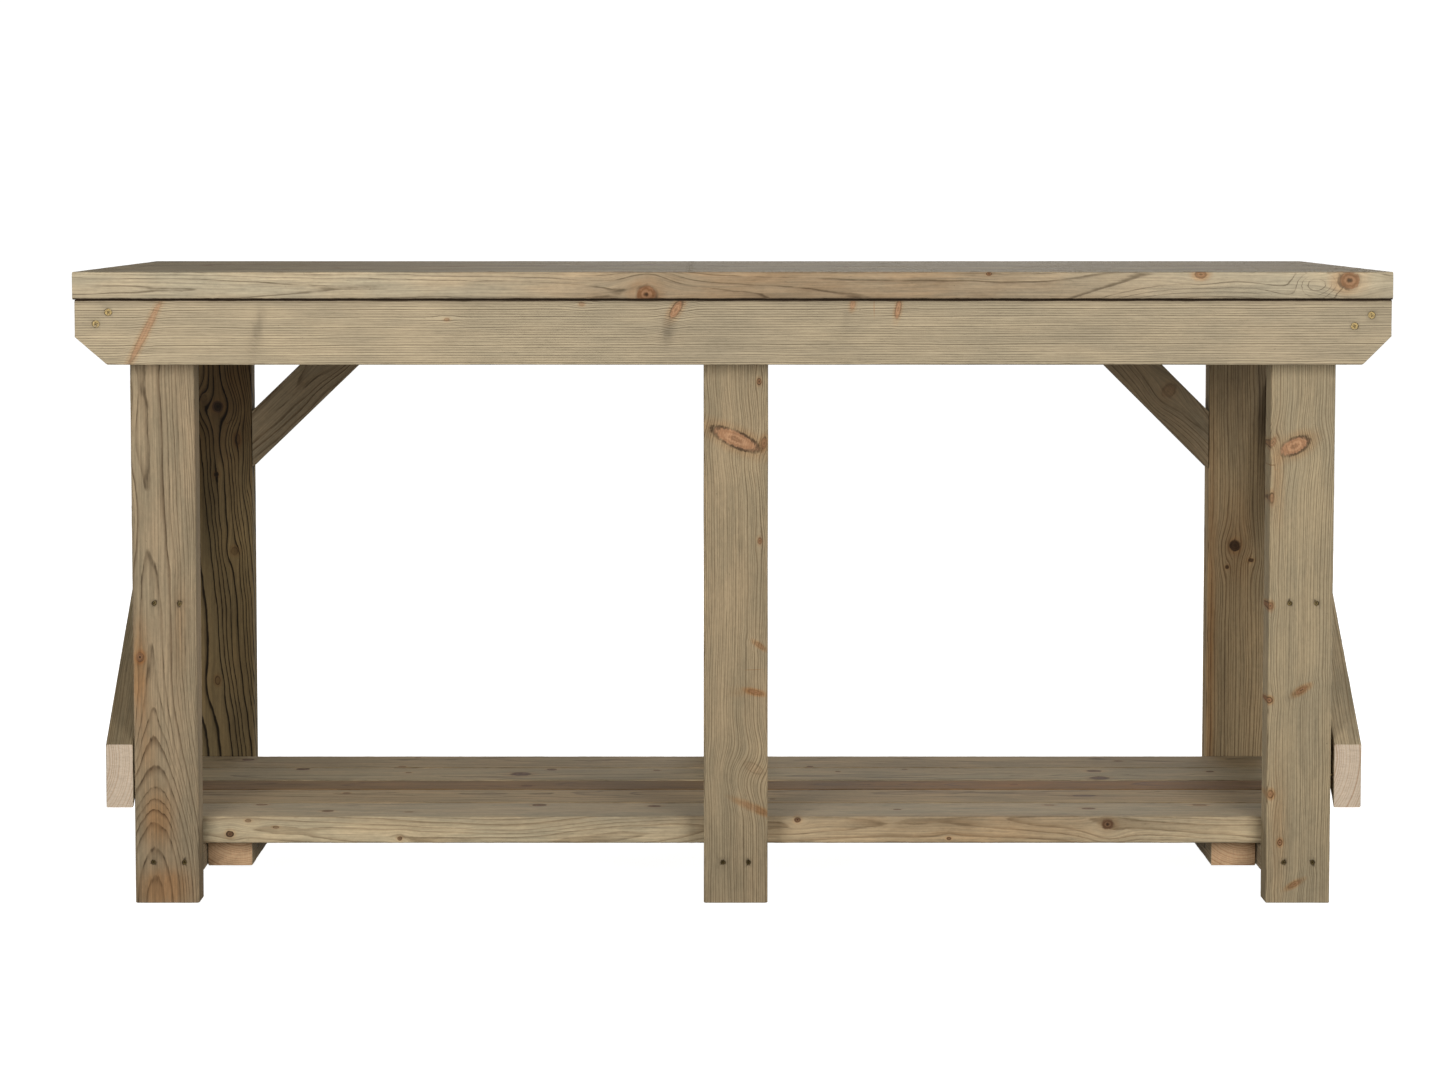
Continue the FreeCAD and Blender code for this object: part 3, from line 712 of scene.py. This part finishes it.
# worktop: L = X, W = Y, T = Z
TOPX = (-859.5, -58.8, 859.5)
for k in range(7):
    nm = "worktop_board_%d" % (k + 1)
    c_, s_ = centre(nm)
    holes = [H("T+", x, q, torn=0.3) for x in TOPX for q in (-s_[1] / 2 + 19, s_[1] / 2 - 19)]
    if k == 0:
        holes += [H("T+", x, -281 - c_[1], torn=0.3) for x in (-620, -330, 330, 620)]
    if k == 6:
        holes += [H("T+", x, 281 - c_[1], torn=0.3) for x in (-620, -330, 330, 620)]
    rr = np.random.RandomState(40 + k)
    kn = []
    extra = {}
    if k == 0:
        kn = [K("W-", 349.1, 16.3, 3.5, 2.2, dark=1.0, halo=0.35),
              K("W-", -117.6, -11.5, 13.5, 12, dark=1.0, halo=0.6, rim=0.75, flow=3.0, bend=0.9),
              K("W-", 637.4, 15.6, 8, 5, dark=0.7, halo=0.8, rim=0.5),
              K("W-", 840.5, 7.4, 15, 12, dark=0.9, halo=0.6, rim=0.8, flow=2.6, bend=0.9)]
        extra = dict(pith_w=[(-900, -51), (-477, -60), (91, -70), (412, -78), (900, -84)],
                     pith_t=[(-900, -6), (-477, -3), (-200, -8), (91, -14), (430, -12), (560, 24), (690, 28), (790, 6), (900, -4)],
                     spacing=5.2, hair=0.66, ripple=0.22, wave=0.7, contrast=0.13, lw=0.45, patch=0.3, break_at=0.30,
                     # the pale patches towards both ends and the dark grey patch in the middle of the front edge are
                     # painted light and shade from the two front lights
                     tints=[S("W-", -600, 0, 420, 60, 2, 0.42), S("W-", 100, 0, 380, 60, 1, 0.70), S("W-", 100, 0, 330, 60, 0, 0.36),
                            S("W-", 840, 0, 160, 60, 2, 0.25), S("T+", 0, 0, 3000, 300, 2, 0.42)],
                     # painted shadow along the lower edge of the front face where the worktop meets the apron
                     seam=[("W-", -19.0, 2.0, 1.7)],
                     swirl=[dict(face="W-", l=796, q=2, ra=26, rb=17, amt=20)],
                     **tone((0.300, 0.257, 0.180)))
    kn += [K("T+", float(rr.uniform(-820, 820)), float(rr.uniform(-30, 30)) * s_[1] / 89, float(rr.uniform(4, 13)), float(rr.uniform(3, 9)), dark=0.85, halo=0.6, rim=0.7) for _ in range(4)]
    extra.setdefault("spacing", [3.4, 3.8, 4.2, 3.2, 4.6, 3.6, 3.9][k])
    if k:
        extra.update(tone([None, (0.326, 0.270, 0.180), (0.358, 0.294, 0.190), (0.318, 0.266, 0.180), (0.346, 0.280, 0.180), (0.332, 0.276, 0.186), (0.350, 0.288, 0.188)][k]))
    board(nm, X, Y, 11 + k, holes=holes, knots=kn,
          pith=[(-48, 46), (18, -62), (-14, 55), (40, -40), (4, -75), (-30, 48), (12, -60)][k],
          tilt=[(0.006, -0.030), (0.004, 0.012), (-0.006, 0.016), (0.003, -0.01), (0.006, 0.014), (-0.004, 0.01), (0.004, -0.014)][k], **extra)

# aprons: L = X, W = Z, T = -Y for both
for nm, sg, sd in (("apron_front", 1, 31), ("apron_back", -1, 32)):
    c_, s_ = centre(nm)
    hw = s_[2] / 2
    x0, x1 = -s_[0] / 2, s_[0] / 2
    cl, cr = (44.0, 38.0), (39.0, 39.0)
    st = (lambda x0, hw, cl: lambda W: x0 + np.clip(cl[0] * (1 - (W + hw) / cl[1]), 0, None))(x0, hw, cl)
    en = (lambda x1, hw, cr: lambda W: x1 - np.clip(cr[0] * (1 - (W + hw) / cr[1]), 0, None))(x1, hw, cr)
    f = "T+" if sg > 0 else "T-"
    holes = [H(f, x - c_[0], z - c_[2], torn=0.3, sunk=1.2) for x, z in ((-851, 825), (-868, 809), (848, 806), (871, 821))]
    kn, tt = [], []
    if sg > 0:
        o = lambda x, z: (x - c_[0], z - c_[2])
        kn = [K("T+", *o(-800, 799), 47, 4.2, ang=63, dark=0.55, halo=0.45, rim=0.30, bend=0.5, flat=True),
              K("T+", *o(-77, 829), 14, 5.5, ang=58, dark=0.85, halo=0.6, rim=0.6, flat=True),
              K("T+", *o(163.8, 836), 7, 3.5, ang=80, dark=0.6, halo=0.5, rim=0.3, flat=True),
              K("T+", *o(225.5, 829), 13, 3.6, ang=80, dark=0.75, halo=0.5, rim=0.5, flat=True),
              K("T+", *o(-205.5, 836), 3.5, 2.5, dark=0.35, halo=0.4, rim=0.2),
              K("T+", *o(-389.4, 815), 3.5, 2.2, dark=0.5, halo=0.3, rim=0.3)]
        tt = [S("T+", *o(-88, 800), 20, 8, 0, 0.66, ang=80), S("T+", *o(-648, 799), 34, 6, 0, 0.62, ang=78),
              S("T+", *o(155, 815), 22, 5, 0, 0.22, ang=85), S("T+", -640, 0, 330, 80, 2, 0.30), S("T+", *o(120, 800), 30, 14, 2, 0.30)]
    board(nm, X, Z, sd, start=st, end=en, extra_w=(-hw + cl[1], -hw + cr[1]), cap_cut=(-hw + cl[1], -hw + cr[1]),
          # painted shadow along the apron's top edge under the worktop
          holes=holes, knots=kn, tints=tt, pith=(150.0, 30.0), tilt=(0.002, 0.0), spacing=2.7, contrast=0.80, hair=0.72, streak=0.45, mottle=0.26, break_at=0.24, line_from=0.72, seam=[("T+", 44.5, 1.8, 1.7)] if nm == "apron_front" else [],
          wave=0.28, ripple=0.22, meander=(0.6, 0.3), endcol=(0.52, 0.42, 0.30),
          edge=2.4, **tone((0.342, 0.281, 0.187), (0.360, 0.290, 0.189), (0.170, 0.126, 0.076)))

# rails: L = Y, W = Z, T = X
for nm, sd in (("end_rail_left", 41), ("end_rail_right", 42), ("centre_rail", 43)):
    c_, s_ = centre(nm)
    holes = []
    if nm == "centre_rail":
        holes = [H("T-", y, z - c_[2]) for y in (-243, 243) for z in (764, 798)]
        holes = [h for h in holes if abs(h["l"]) < s_[1] / 2 - 8]
    board(nm, Y, Z, sd, holes=holes, pith=(20.0, 62.0), tilt=(0.0, 0.02),
          knots=[K("T-", -90, 12, 9, 7), K("T+", 130, -14, 8, 6)])

# legs: L = Z, W = X, T = Y
LEGS = {}
for side_, mid in (("left", -786.0), ("centre", 5.2), ("right", 787.5)):
    for row in ("front", "back"):
        nm = "leg_%s_%s" % (row, side_)
        c_, s_ = centre(nm)
        face_in, face_out = ("T+", "T-") if row == "front" else ("T-", "T+")
        holes = [H(face_in, 775 - c_[2], mid - 21 - c_[0]), H(face_in, 820 - c_[2], mid + 21 - c_[0])]
        xs = {"left": (-805, -762), "centre": (-12.5, 23), "right": (768, 808)}[side_]
        holes += [H(face_out, 57 - c_[2], x - c_[0], torn=1.7, sunk=3.0, shut=True) for x in xs]
        if row == "front" and side_ != "centre":
            mx = {"left": (-800, -765), "right": (772, 809)}[side_]
            holes += [H(face_out, 420 - c_[2], x - c_[0], torn=1.9, sunk=3.0, shut=True) for x in mx]
        LEGS[nm] = (c_, holes)


def at(nm, x, z):
    c_ = LEGS[nm][0]
    return z - c_[2], x - c_[0]


n = "leg_front_left"
board(n, Z, X, 51, holes=LEGS[n][1], pith=(-15.8, -60),
      pith_w=[(-421, -16), (-150, -17), (100, -22), (421, -30)], pith_t=[(-421, -25), (-361, -39), (-301, -56), (-241, -72), (-161, -80), (-76, -83), (421, -84)],
      spacing=20.0, grow=2.0, contrast=0.80, hair=0.75, ripple=0.34, wave=0.9, meander=(2.0, 1.0),
      swirl=[dict(face="T-", l=130, q=-48, ra=60, rb=14, amt=7), dict(face="T-", l=285, q=-50, ra=45, rb=13, amt=6)],
      knots=[K("T-", *at(n, -820.6, 345), 6.0, 5.0, dark=1.0, halo=1.0, rim=0.7)],
      tints=[S("T-", *at(n, -822, 330), 60, 11, 1, 1.3), S("T-", *at(n, -798, 118), 40, 20, 1, 1.1), S("T-", *at(n, -790, 20), 28, 38, 1, 1.3),
             S("T-", *at(n, -812, 220), 60, 14, 1, 0.55), S("T-", *at(n, -765, 380), 70, 9, 1, 0.45), S("T-", *at(n, -786, 0), 150, 80, 0, 0.20)],
      **tone((0.250, 0.196, 0.122), (0.264, 0.196, 0.119), (0.108, 0.070, 0.038)))
n = "leg_front_centre"
board(n, Z, X, 52, holes=LEGS[n][1], pith=(120, 30), tilt=(0.01, 0.0), spacing=3.0, contrast=0.90, hair=0.58, wave=0.6, ripple=0.28, streak=0.85, meander=(2.4, 1.0),
      knots=[K("T-", *at(n, 5, 648), 34, 10.5, ang=114, dark=0.95, halo=0.5, rim=0.85, bend=0.8, flow=3.0, flat=True),
             K("T-", *at(n, 44, 643), 8, 4, ang=10, dark=0.7, halo=0.6, rim=0.6), K("T-", *at(n, 37, 727.8), 4.5, 3),
             K("T-", *at(n, 38.3, 507), 4.5, 3), K("T-", *at(n, 38.3, 361), 8, 2.6, ang=125, dark=0.35, halo=0.7, rim=0.25), K("T-", *at(n, 32, 296), 10, 3.0, ang=104, dark=0.55, halo=0.9, rim=0.3),
             K("T-", *at(n, 30, 190), 15, 6, ang=118, dark=0.12, halo=0.10, rim=0.25, flow=5.5, bend=1.2),
             K("T-", *at(n, 30, 134), 20, 3.6, ang=114, dark=0.35, halo=0.9, rim=0.25)],
      tints=[S("T-", *at(n, 34, 215), 26, 12, 2, 0.30), S("T-", *at(n, 20, 296), 6, 22, 1, 0.4), S("T-", *at(n, 14, 615), 26, 22, 2, 0.25), S("T-", *at(n, 5, 0), 120, 80, 0, 0.16)],
      **tone((0.282, 0.222, 0.136), (0.296, 0.224, 0.134), (0.145, 0.098, 0.052)))
n = "leg_front_right"
board(n, Z, X, 53, holes=LEGS[n][1], pith=(110, 40), tilt=(0.004, 0.0), spacing=2.9, contrast=0.86, hair=0.55, wave=0.6, ripple=0.28, streak=0.85, meander=(1.7, 0.8), edge=2.4,
      knots=[K("T-", *at(n, 775.9, 638.4), 21, 10.5, ang=64, dark=0.95, halo=0.5, rim=0.75, flow=3.0, flat=True),
             K("T-", *at(n, 746, 643.9), 8, 4, ang=30, dark=0.6), K("T-", *at(n, 745.5, 566.3), 7, 3, dark=0.6), K("T-", *at(n, 789.5, 298.7), 10, 3.6, ang=58, dark=0.75, halo=0.9, rim=0.4),
             K("T-", *at(n, 745, 416.6), 5, 4, dark=0.8, halo=0.9), K("T-", *at(n, 745, 284.9), 4, 4, halo=0.8),
             K("T-", *at(n, 748, 153.2), 5, 4, halo=0.9, dark=0.6), K("T-", *at(n, 762, 85.2), 4, 3, halo=0.8), K("T-", *at(n, 783.2, 26.6), 10, 3.0, ang=60, dark=0.6, halo=0.9, rim=0.4)],
      tints=[S("T-", *at(n, 754, 600), 70, 8, 1, 0.5), S("T-", *at(n, 760, 100), 90, 12, 1, 0.4), S("T-", *at(n, 790, 610), 26, 20, 2, 0.25), S("T-", *at(n, 776, 291), 12, 6, 0, 0.4, ang=58)],
      **tone((0.284, 0.229, 0.143), (0.296, 0.232, 0.140), (0.150, 0.104, 0.058)))
# this leg's tone and knot colours are partly darker wood and partly painted shade from under the worktop; the dark grey
# tint over its upper part is painted shade
n = "leg_back_left"
board(n, Z, X, 54, holes=LEGS[n][1], pith=(-80, -35),
      pith_w=[(-421, -42), (-200, -64), (0, -84), (180, -98), (421, -104)], pith_t=[(-421, -30), (421, -36)],
      spacing=36.0, grow=2.0, contrast=1.0, hair=1.0, ripple=0.30, wave=2.2, lw=0.36, line_from=0.74, break_at=0.10, heart=1.0,
      swirl=[dict(face="T-", l=-215, q=-34, ra=40, rb=18, amt=8), dict(face="T-", l=110, q=34, ra=26, rb=8, amt=6)],
      tints=[S("T-", 330, 0, 230, 80, 0, 1.30), S("T-", 330, 0, 200, 80, 1, 0.85), S("T-", -150, 0, 240, 80, 1, 0.25), S("T-", -300, 0, 160, 80, 0, 0.22)], knot_a=(0.016, 0.009, 0.004), knot_b=(0.032, 0.018, 0.008), corecol=(0.010, 0.006, 0.003),
      knots=[K("T-", *at(n, -793.9, 655.7), 8, 7.5, dark=1.0, halo=0.3, rim=1.0, flow=4.5, bend=0.9), K("T-", *at(n, -815, 668), 8, 5, dark=0.4, halo=0.2, rim=0.7),
             K("T-", *at(n, -796.9, 550), 4, 3.5, dark=1.0, halo=0.6, rim=0.8), K("T-", *at(n, -763.8, 604.7), 8, 4, dark=0.4, rim=0.6),
             K("T-", *at(n, -770, 430), 6, 5, dark=0.3, rim=0.8), K("T-", *at(n, -798, 227), 6, 4, dark=0.3, rim=0.8)],
      **tone((0.165, 0.124, 0.062), (0.174, 0.126, 0.060), (0.030, 0.019, 0.008)))
n = "leg_back_centre"
board(n, Z, X, 55, holes=LEGS[n][1], pith=(60, -30), knots=[K("T+", 120, 10, 9, 7), K("T+", -210, -22, 6, 5)], **tone((0.270, 0.212, 0.138)))
n = "leg_back_right"
board(n, Z, X, 56, holes=LEGS[n][1], pith=(90, 30), tilt=(0.004, 0.0), spacing=3.9, contrast=0.95, hair=0.6, edge=2.4, heart=0.9,
      knots=[K("T-", *at(n, 788.5, 438.8), 8, 7.5, dark=1.0, halo=0.5, rim=1.0, flow=3), K("T-", *at(n, 776.6, 405), 3, 3), K("T-", *at(n, 814, 415.8), 3, 4)],
      # painted shade: the dark grey tint over the top under the worktop; painted shadow: the narrow dark grey strip
      # down the outer edge near the top, cast by the front leg and brace
      tints=[S("T-", *at(n, 752, 300), 260, 7, 1, 0.9), S("T-", *at(n, 800, 740), 150, 60, 0, 0.85), S("T-", *at(n, 829, 670), 120, 8, 0, 0.8), S("T-", *at(n, 790, 450), 70, 26, 1, 0.5)],
      knot_a=(0.050, 0.026, 0.012), knot_b=(0.085, 0.046, 0.022), **tone((0.286, 0.213, 0.120), (0.298, 0.215, 0.117), (0.135, 0.086, 0.042)))

# stretchers and bearers: L = Y, W = X, T = -Z
for nm, sd in (("stretcher_left", 61), ("stretcher_centre", 62), ("stretcher_right", 63), ("shelf_bearer_left", 64), ("shelf_bearer_right", 65)):
    c_, s_ = centre(nm)
    holes = []
    ec = (0.55, 0.40, 0.26)
    xs = {"stretcher_left": -709, "stretcher_centre": 5.5, "stretcher_right": 710}
    if "bearer" in nm:
        ec = (0.50, 0.33, 0.19)
        x = -709 if "left" in nm else 710
        holes = [H("T+", y, x - c_[0]) for y in (-186, -163, -112, -68, -30, -6, 42, 87, 132, 178)]
        f = "W+" if "left" in nm else "W-"
        holes += [H(f, y, -(56 - c_[2])) for y in (-148, 9, 156)]
    if nm == "stretcher_centre":
        holes = [H("T+", y, 5.5 - c_[0]) for y in (-186, -163, -112, -68, -30, -6, 42, 87, 132, 178)]
    board(nm, Y, X, sd, edge=1.6, holes=holes, pith=(15, -52), endcol=ec, knots=[K("T+", 60, -12, 8, 6), K("T-", -120, 14, 7, 5)])

# shelf: L = X, W = Y, T = Z; knots as (X, Y) on top
PINS = {1: [(-671.5, -146.8, 7, 4.5, 0.6), (-571.8, -187.7, 8, 5, 0.9), (-456.7, -194, 5, 3, 0.5), (-274.4, -149.4, 9, 6, 0.9), (-110, -155.8, 9, 5, 0.9),
            (235.7, -178, 5, 3, 0.9), (670, -149, 9, 5, 0.5), (508.5, -171.8, 9, 5, 0.9), (454.6, -149.4, 7, 4, 0.4)],
        2: [(513, -87, 15, 5, 0.9), (-560, -70, 5, 4, 0.6), (60, -110, 4, 3, 0.6)], 3: [(-300, -20, 7, 5, 0.7), (420, -10, 5, 4, 0.5)],
        4: [(-648, 100.6, 9, 6, 1.0), (-485, 75, 4, 3, 0.6), (-315, 64.5, 15, 11, 1.0), (-270, 97, 7, 6, 0.9), (-110, 90, 5, 4, 0.6), (164, 82, 3.5, 3, 0.7),
            (266, 97, 4, 3, 0.6), (727, 82, 5, 4, 0.8), (552.5, 86, 10, 6, 0.9), (552.8, 36, 13, 9, 1.0)],
        5: [(-742.8, 171, 8, 6, 0.9), (-499, 118.8, 5, 4, 0.5), (123, 118.8, 4, 4, 0.9), (-482.8, 188, 4, 3, 0.6), (600, 160, 6, 4, 0.6)]}
SHELF_TONE = {1: (0.372, 0.308, 0.201), 2: (0.256, 0.194, 0.112), 3: (0.152, 0.096, 0.046), 4: (0.256, 0.208, 0.128), 5: (0.238, 0.184, 0.108)}
for k in range(1, 6):
    nm = "shelf_board_%d" % k
    c_, s_ = centre(nm)
    kn = [K("T+", x - c_[0], y - c_[1], a_, b_, dark=d_, halo=0.45, rim=d_) for x, y, a_, b_, d_ in PINS[k]]
    extra = {}
    if k == 1:
        fr = [(-704.7, 88.2, 5, 4, 1.0), (-466.2, 81.9, 3, 2.5, 0.8), (92.4, 108.5, 4.5, 3.5, 1.0), (305.2, 81.9, 3, 2, 0.8), (527.8, 102.0, 8.5, 7.5, 1.0),
              (-679, 107, 4, 2, 0.6), (-640, 98, 4, 1.6, 0.5)]
        kn = [K("W-", x - c_[0], z - c_[2], a_, b_, dark=d_, halo=0.45, rim=1.0, flow=3.2, bend=0.9) for x, z, a_, b_, d_ in fr] + kn
        extra = dict(spacing=4.9, hair=0.40, ripple=0.25, wave=0.8, lw=0.40, contrast=0.55, patch=0.3,
                     pith_w=[(-832, -70), (-100, -60), (200, -72), (832, -60)], pith_t=[(-832, 12), (-300, -22), (0, 4), (400, 16), (832, -6)],
                     tints=[S("W-", -560, 2, 220, 30, 2, 0.38), S("W-", 250, 0, 260, 30, 1, 0.35), S("W-", 420, 0, 200, 30, 1, 0.30), S("W-", 420, 0, 200, 30, 0, 0.20), S("W-", 720, 0, 120, 30, 2, 0.25), S("T+", 0, 0, 3000, 300, 0, 0.44)])
    if k == 3:
        extra = dict(tints=[S("T+", 560, 0, 330, 60, 1, 0.5), S("T+", 560, 0, 300, 60, 2, 0.30)], contrast=0.5)
    extra.update(knot_a=(0.075, 0.038, 0.019), knot_b=(0.115, 0.060, 0.031)) if k > 1 else extra.update(knot_a=(0.095, 0.050, 0.025), knot_b=(0.150, 0.082, 0.042))
    board(nm, X, Y, 70 + k, pith=[(-30, 60), (20, -60), (6, -66), (-16, 58), (20, -64)][k - 1],
          tilt=[(0.004, 0.012), (0.006, 0.012), (-0.004, 0.016), (0.004, -0.012), (0.004, 0.014)][k - 1],
          knots=kn, **extra, **tone(SHELF_TONE[k]))

# braces under the ends: L up and back at 45 degrees, W across, T = X
for nm, sd, f in (("side_brace_left", 81, "T-"), ("side_brace_right", 82, "T+")):
    c_, s_ = centre(nm)
    cut = 89.1
    wid = cut * S45
    half = s_[1] / 2
    # plumb ends at Y = -half and +half, measured from the middle
    st = (lambda half: lambda W: (-half + W * S45) / S45)(half)
    en = (lambda half: lambda W: (half + W * S45) / S45)(half)
    hs = []
    for y, z in ((-251, 178), (-234, 212), (234, 672), (251, 705)):
        dy, dz = y - c_[1], z - c_[2]
        hs.append(H(f, dy * S45 + dz * S45, -dy * S45 + dz * S45))
    board(nm, (0, S45, S45), (0, -S45, S45), sd, w=wid, t=s_[0], start=st, end=en, holes=hs, pith=(18, -58), tilt=(0.004, 0.014),
          endcol=(0.52, 0.42, 0.315), knots=[K(f, -150, 8, 9, 7), K(f, 120, -12, 7, 6)], edge=1.6, **tone((0.150, 0.117, 0.069) if "left" in nm else (0.262, 0.214, 0.137)))

# knee braces between the rear end legs and the top: plumb foot, level head
for nm, sd, mir, deg in (("knee_brace_left", 85, 1, 43.85), ("knee_brace_right", 86, -1, 44.85)):
    c_, s_ = centre(nm)
    th = math.radians(deg)
    ct, sn = math.cos(th), math.sin(th)
    wid = 63.0
    foot_x, foot_z = -mir * s_[0] / 2, -s_[2] / 2      # lower corner of the foot
    top_z = s_[2] / 2
    # lower edge passes through the foot corner; W = 0 runs wid/2 above it
    ox, oz = foot_x * mir, foot_z
    mx, mz = ox - sn * wid / 2, oz + ct * wid / 2      # a point on the mid line (in mirrored x)
    # L is measured from the box middle projected on the mid line
    Lm = mx * ct + mz * sn
    Wm = -mx * sn + mz * ct
    # shift so W is measured from the mid line
    def st(W, Wm=Wm, ct=ct, sn=sn, ox=ox):
        return (ox + (W + Wm) * sn) / ct + 0.6
    def en(W, Wm=Wm, ct=ct, sn=sn, top_z=top_z):
        return (top_z - (W + Wm) * ct) / sn - 0.6
    off = (-sn * Wm, ct * Wm)
    d = board(nm, (mir * ct, 0, sn), (-mir * sn, 0, ct), sd, w=wid, t=s_[1], start=st, end=en, pith=(12, -60), tilt=(0.004, 0.012),
              shift=(mir * off[0], 0.0, off[1]), knots=[K("T+" if mir > 0 else "T-", 12 if mir > 0 else -70, 10, 9, 12, dark=0.35, halo=0.2, rim=0.35)], edge=2.0, contrast=0.95, hair=0.6, **tone((0.200, 0.157, 0.098)))

_centre = centre


def centre(name):
    c_, s_ = _centre(name)
    sh = BOARDS.get(name, {}).get("shift")
    return (c_ + np.array(sh), s_) if sh is not None else (c_, s_)


for nm, P in BOARDS.items():
    build_board(nm, P)

zinc = screw_material()
for nm, ob in NODES.items():
    if nm not in BOARDS:
        for s in ob.material_slots:
            s.material = zinc
        if not ob.material_slots:
            ob.data.materials.append(zinc)

# ------------------------------------------------------------------- stage
def plane(name, verts):
    me = bpy.data.meshes.new(name)
    me.from_pydata(verts, [], [(0, 1, 2, 3)])
    ob = bpy.data.objects.new(name, me)
    bpy.context.scene.collection.objects.link(ob)
    return ob


floor = plane("floor", [(-30, -30, -0.0005), (30, -30, -0.0005), (30, 30, -0.0005), (-30, 30, -0.0005)])
fm = bpy.data.materials.new("pale_floor")
T = Tree(fm)
b = T.node("ShaderNodeBsdfPrincipled")
b.inputs["Base Color"].default_value = (0.50, 0.50, 0.50, 1)
b.inputs["Roughness"].default_value = 0.9
b.inputs["Specular IOR Level"].default_value = 0.0
b.inputs["Emission Color"].default_value = (1, 1, 1, 1)
b.inputs["Emission Strength"].default_value = 0.95
o = T.node("ShaderNodeOutputMaterial")
T.nt.links.new(b.outputs[0], o.inputs[0])
floor.data.materials.append(fm)
floor.visible_diffuse = False
floor.visible_glossy = False

# backdrop: a big dome seen only by the camera
me = bpy.data.meshes.new("backdrop")
vs, fs = [], []
NA, NE = 32, 12
for i in range(NE + 1):
    e = -math.pi / 2 + math.pi * i / NE
    for j in range(NA):
        a = 2 * math.pi * j / NA
        vs.append((28 * math.cos(e) * math.cos(a), 28 * math.cos(e) * math.sin(a), 28 * math.sin(e)))
for i in range(NE):
    for j in range(NA):
        fs.append((i * NA + j, (i + 1) * NA + j, (i + 1) * NA + (j + 1) % NA, i * NA + (j + 1) % NA))
me.from_pydata(vs, [], fs)
back = bpy.data.objects.new("backdrop", me)
bpy.context.scene.collection.objects.link(back)
bm = bpy.data.materials.new("backdrop_white")
T = Tree(bm)
e = T.node("ShaderNodeEmission")
e.inputs[0].default_value = (1, 1, 1, 1)
e.inputs[1].default_value = 1.1
o = T.node("ShaderNodeOutputMaterial")
T.nt.links.new(e.outputs[0], o.inputs[0])
me.materials.append(bm)
for flag in ("visible_diffuse", "visible_glossy", "visible_transmission", "visible_volume_scatter", "visible_shadow"):
    setattr(back, flag, False)

world = bpy.data.worlds.new("studio")
bpy.context.scene.world = world
world.use_nodes = True
bg = world.node_tree.nodes["Background"]
bg.inputs[0].default_value = (1.0, 0.99, 0.97, 1)
bg.inputs[1].default_value = 0.225


def area(name, loc, aim, sx, sy, watts, col=(1, 1, 1)):
    d = bpy.data.lights.new(name, "AREA")
    d.shape = "RECTANGLE"
    d.size, d.size_y = sx, sy
    d.energy = watts
    d.color = col
    ob = bpy.data.objects.new(name, d)
    bpy.context.scene.collection.objects.link(ob)
    ob.location = loc
    ob.rotation_mode = "QUATERNION"
    ob.rotation_quaternion = (Vector(aim) - Vector(loc)).to_track_quat("-Z", "Y")
    ob.visible_camera = False
    return ob


area("key_left", (-1.25, -1.95, 1.00), (-0.35, 0, 0.54), 0.9, 1.3, 32)
area("key_right", (1.25, -1.95, 1.00), (0.35, 0, 0.54), 0.9, 1.3, 32)
area("back_fill", (0.6, 3.4, 1.9), (0, 0, 0.5), 2.6, 1.6, 70)
area("side_left", (-3.3, 1.1, 0.52), (-0.8, 0, 0.5), 1.2, 0.9, 30)
area("side_right", (3.3, 1.1, 0.52), (0.8, 0, 0.5), 1.2, 0.9, 30)

cam_d = bpy.data.cameras.new("camera")
cam = bpy.data.objects.new("camera", cam_d)
bpy.context.scene.collection.objects.link(cam)
cam.location = (-0.0420, -4.1017, 0.9891)
cam.rotation_euler = (math.radians(90 - 3.183), 0, math.radians(-0.010))
cam_d.sensor_width = 36
cam_d.lens = 69.571
cam_d.shift_x = 0.01400
cam_d.shift_y = -0.135
cam_d.clip_start, cam_d.clip_end = 0.05, 100
bpy.context.scene.camera = cam
vs_ = bpy.context.scene.view_settings
vs_.view_transform = "Standard"
vs_.look = "None"
vs_.exposure = 0.0
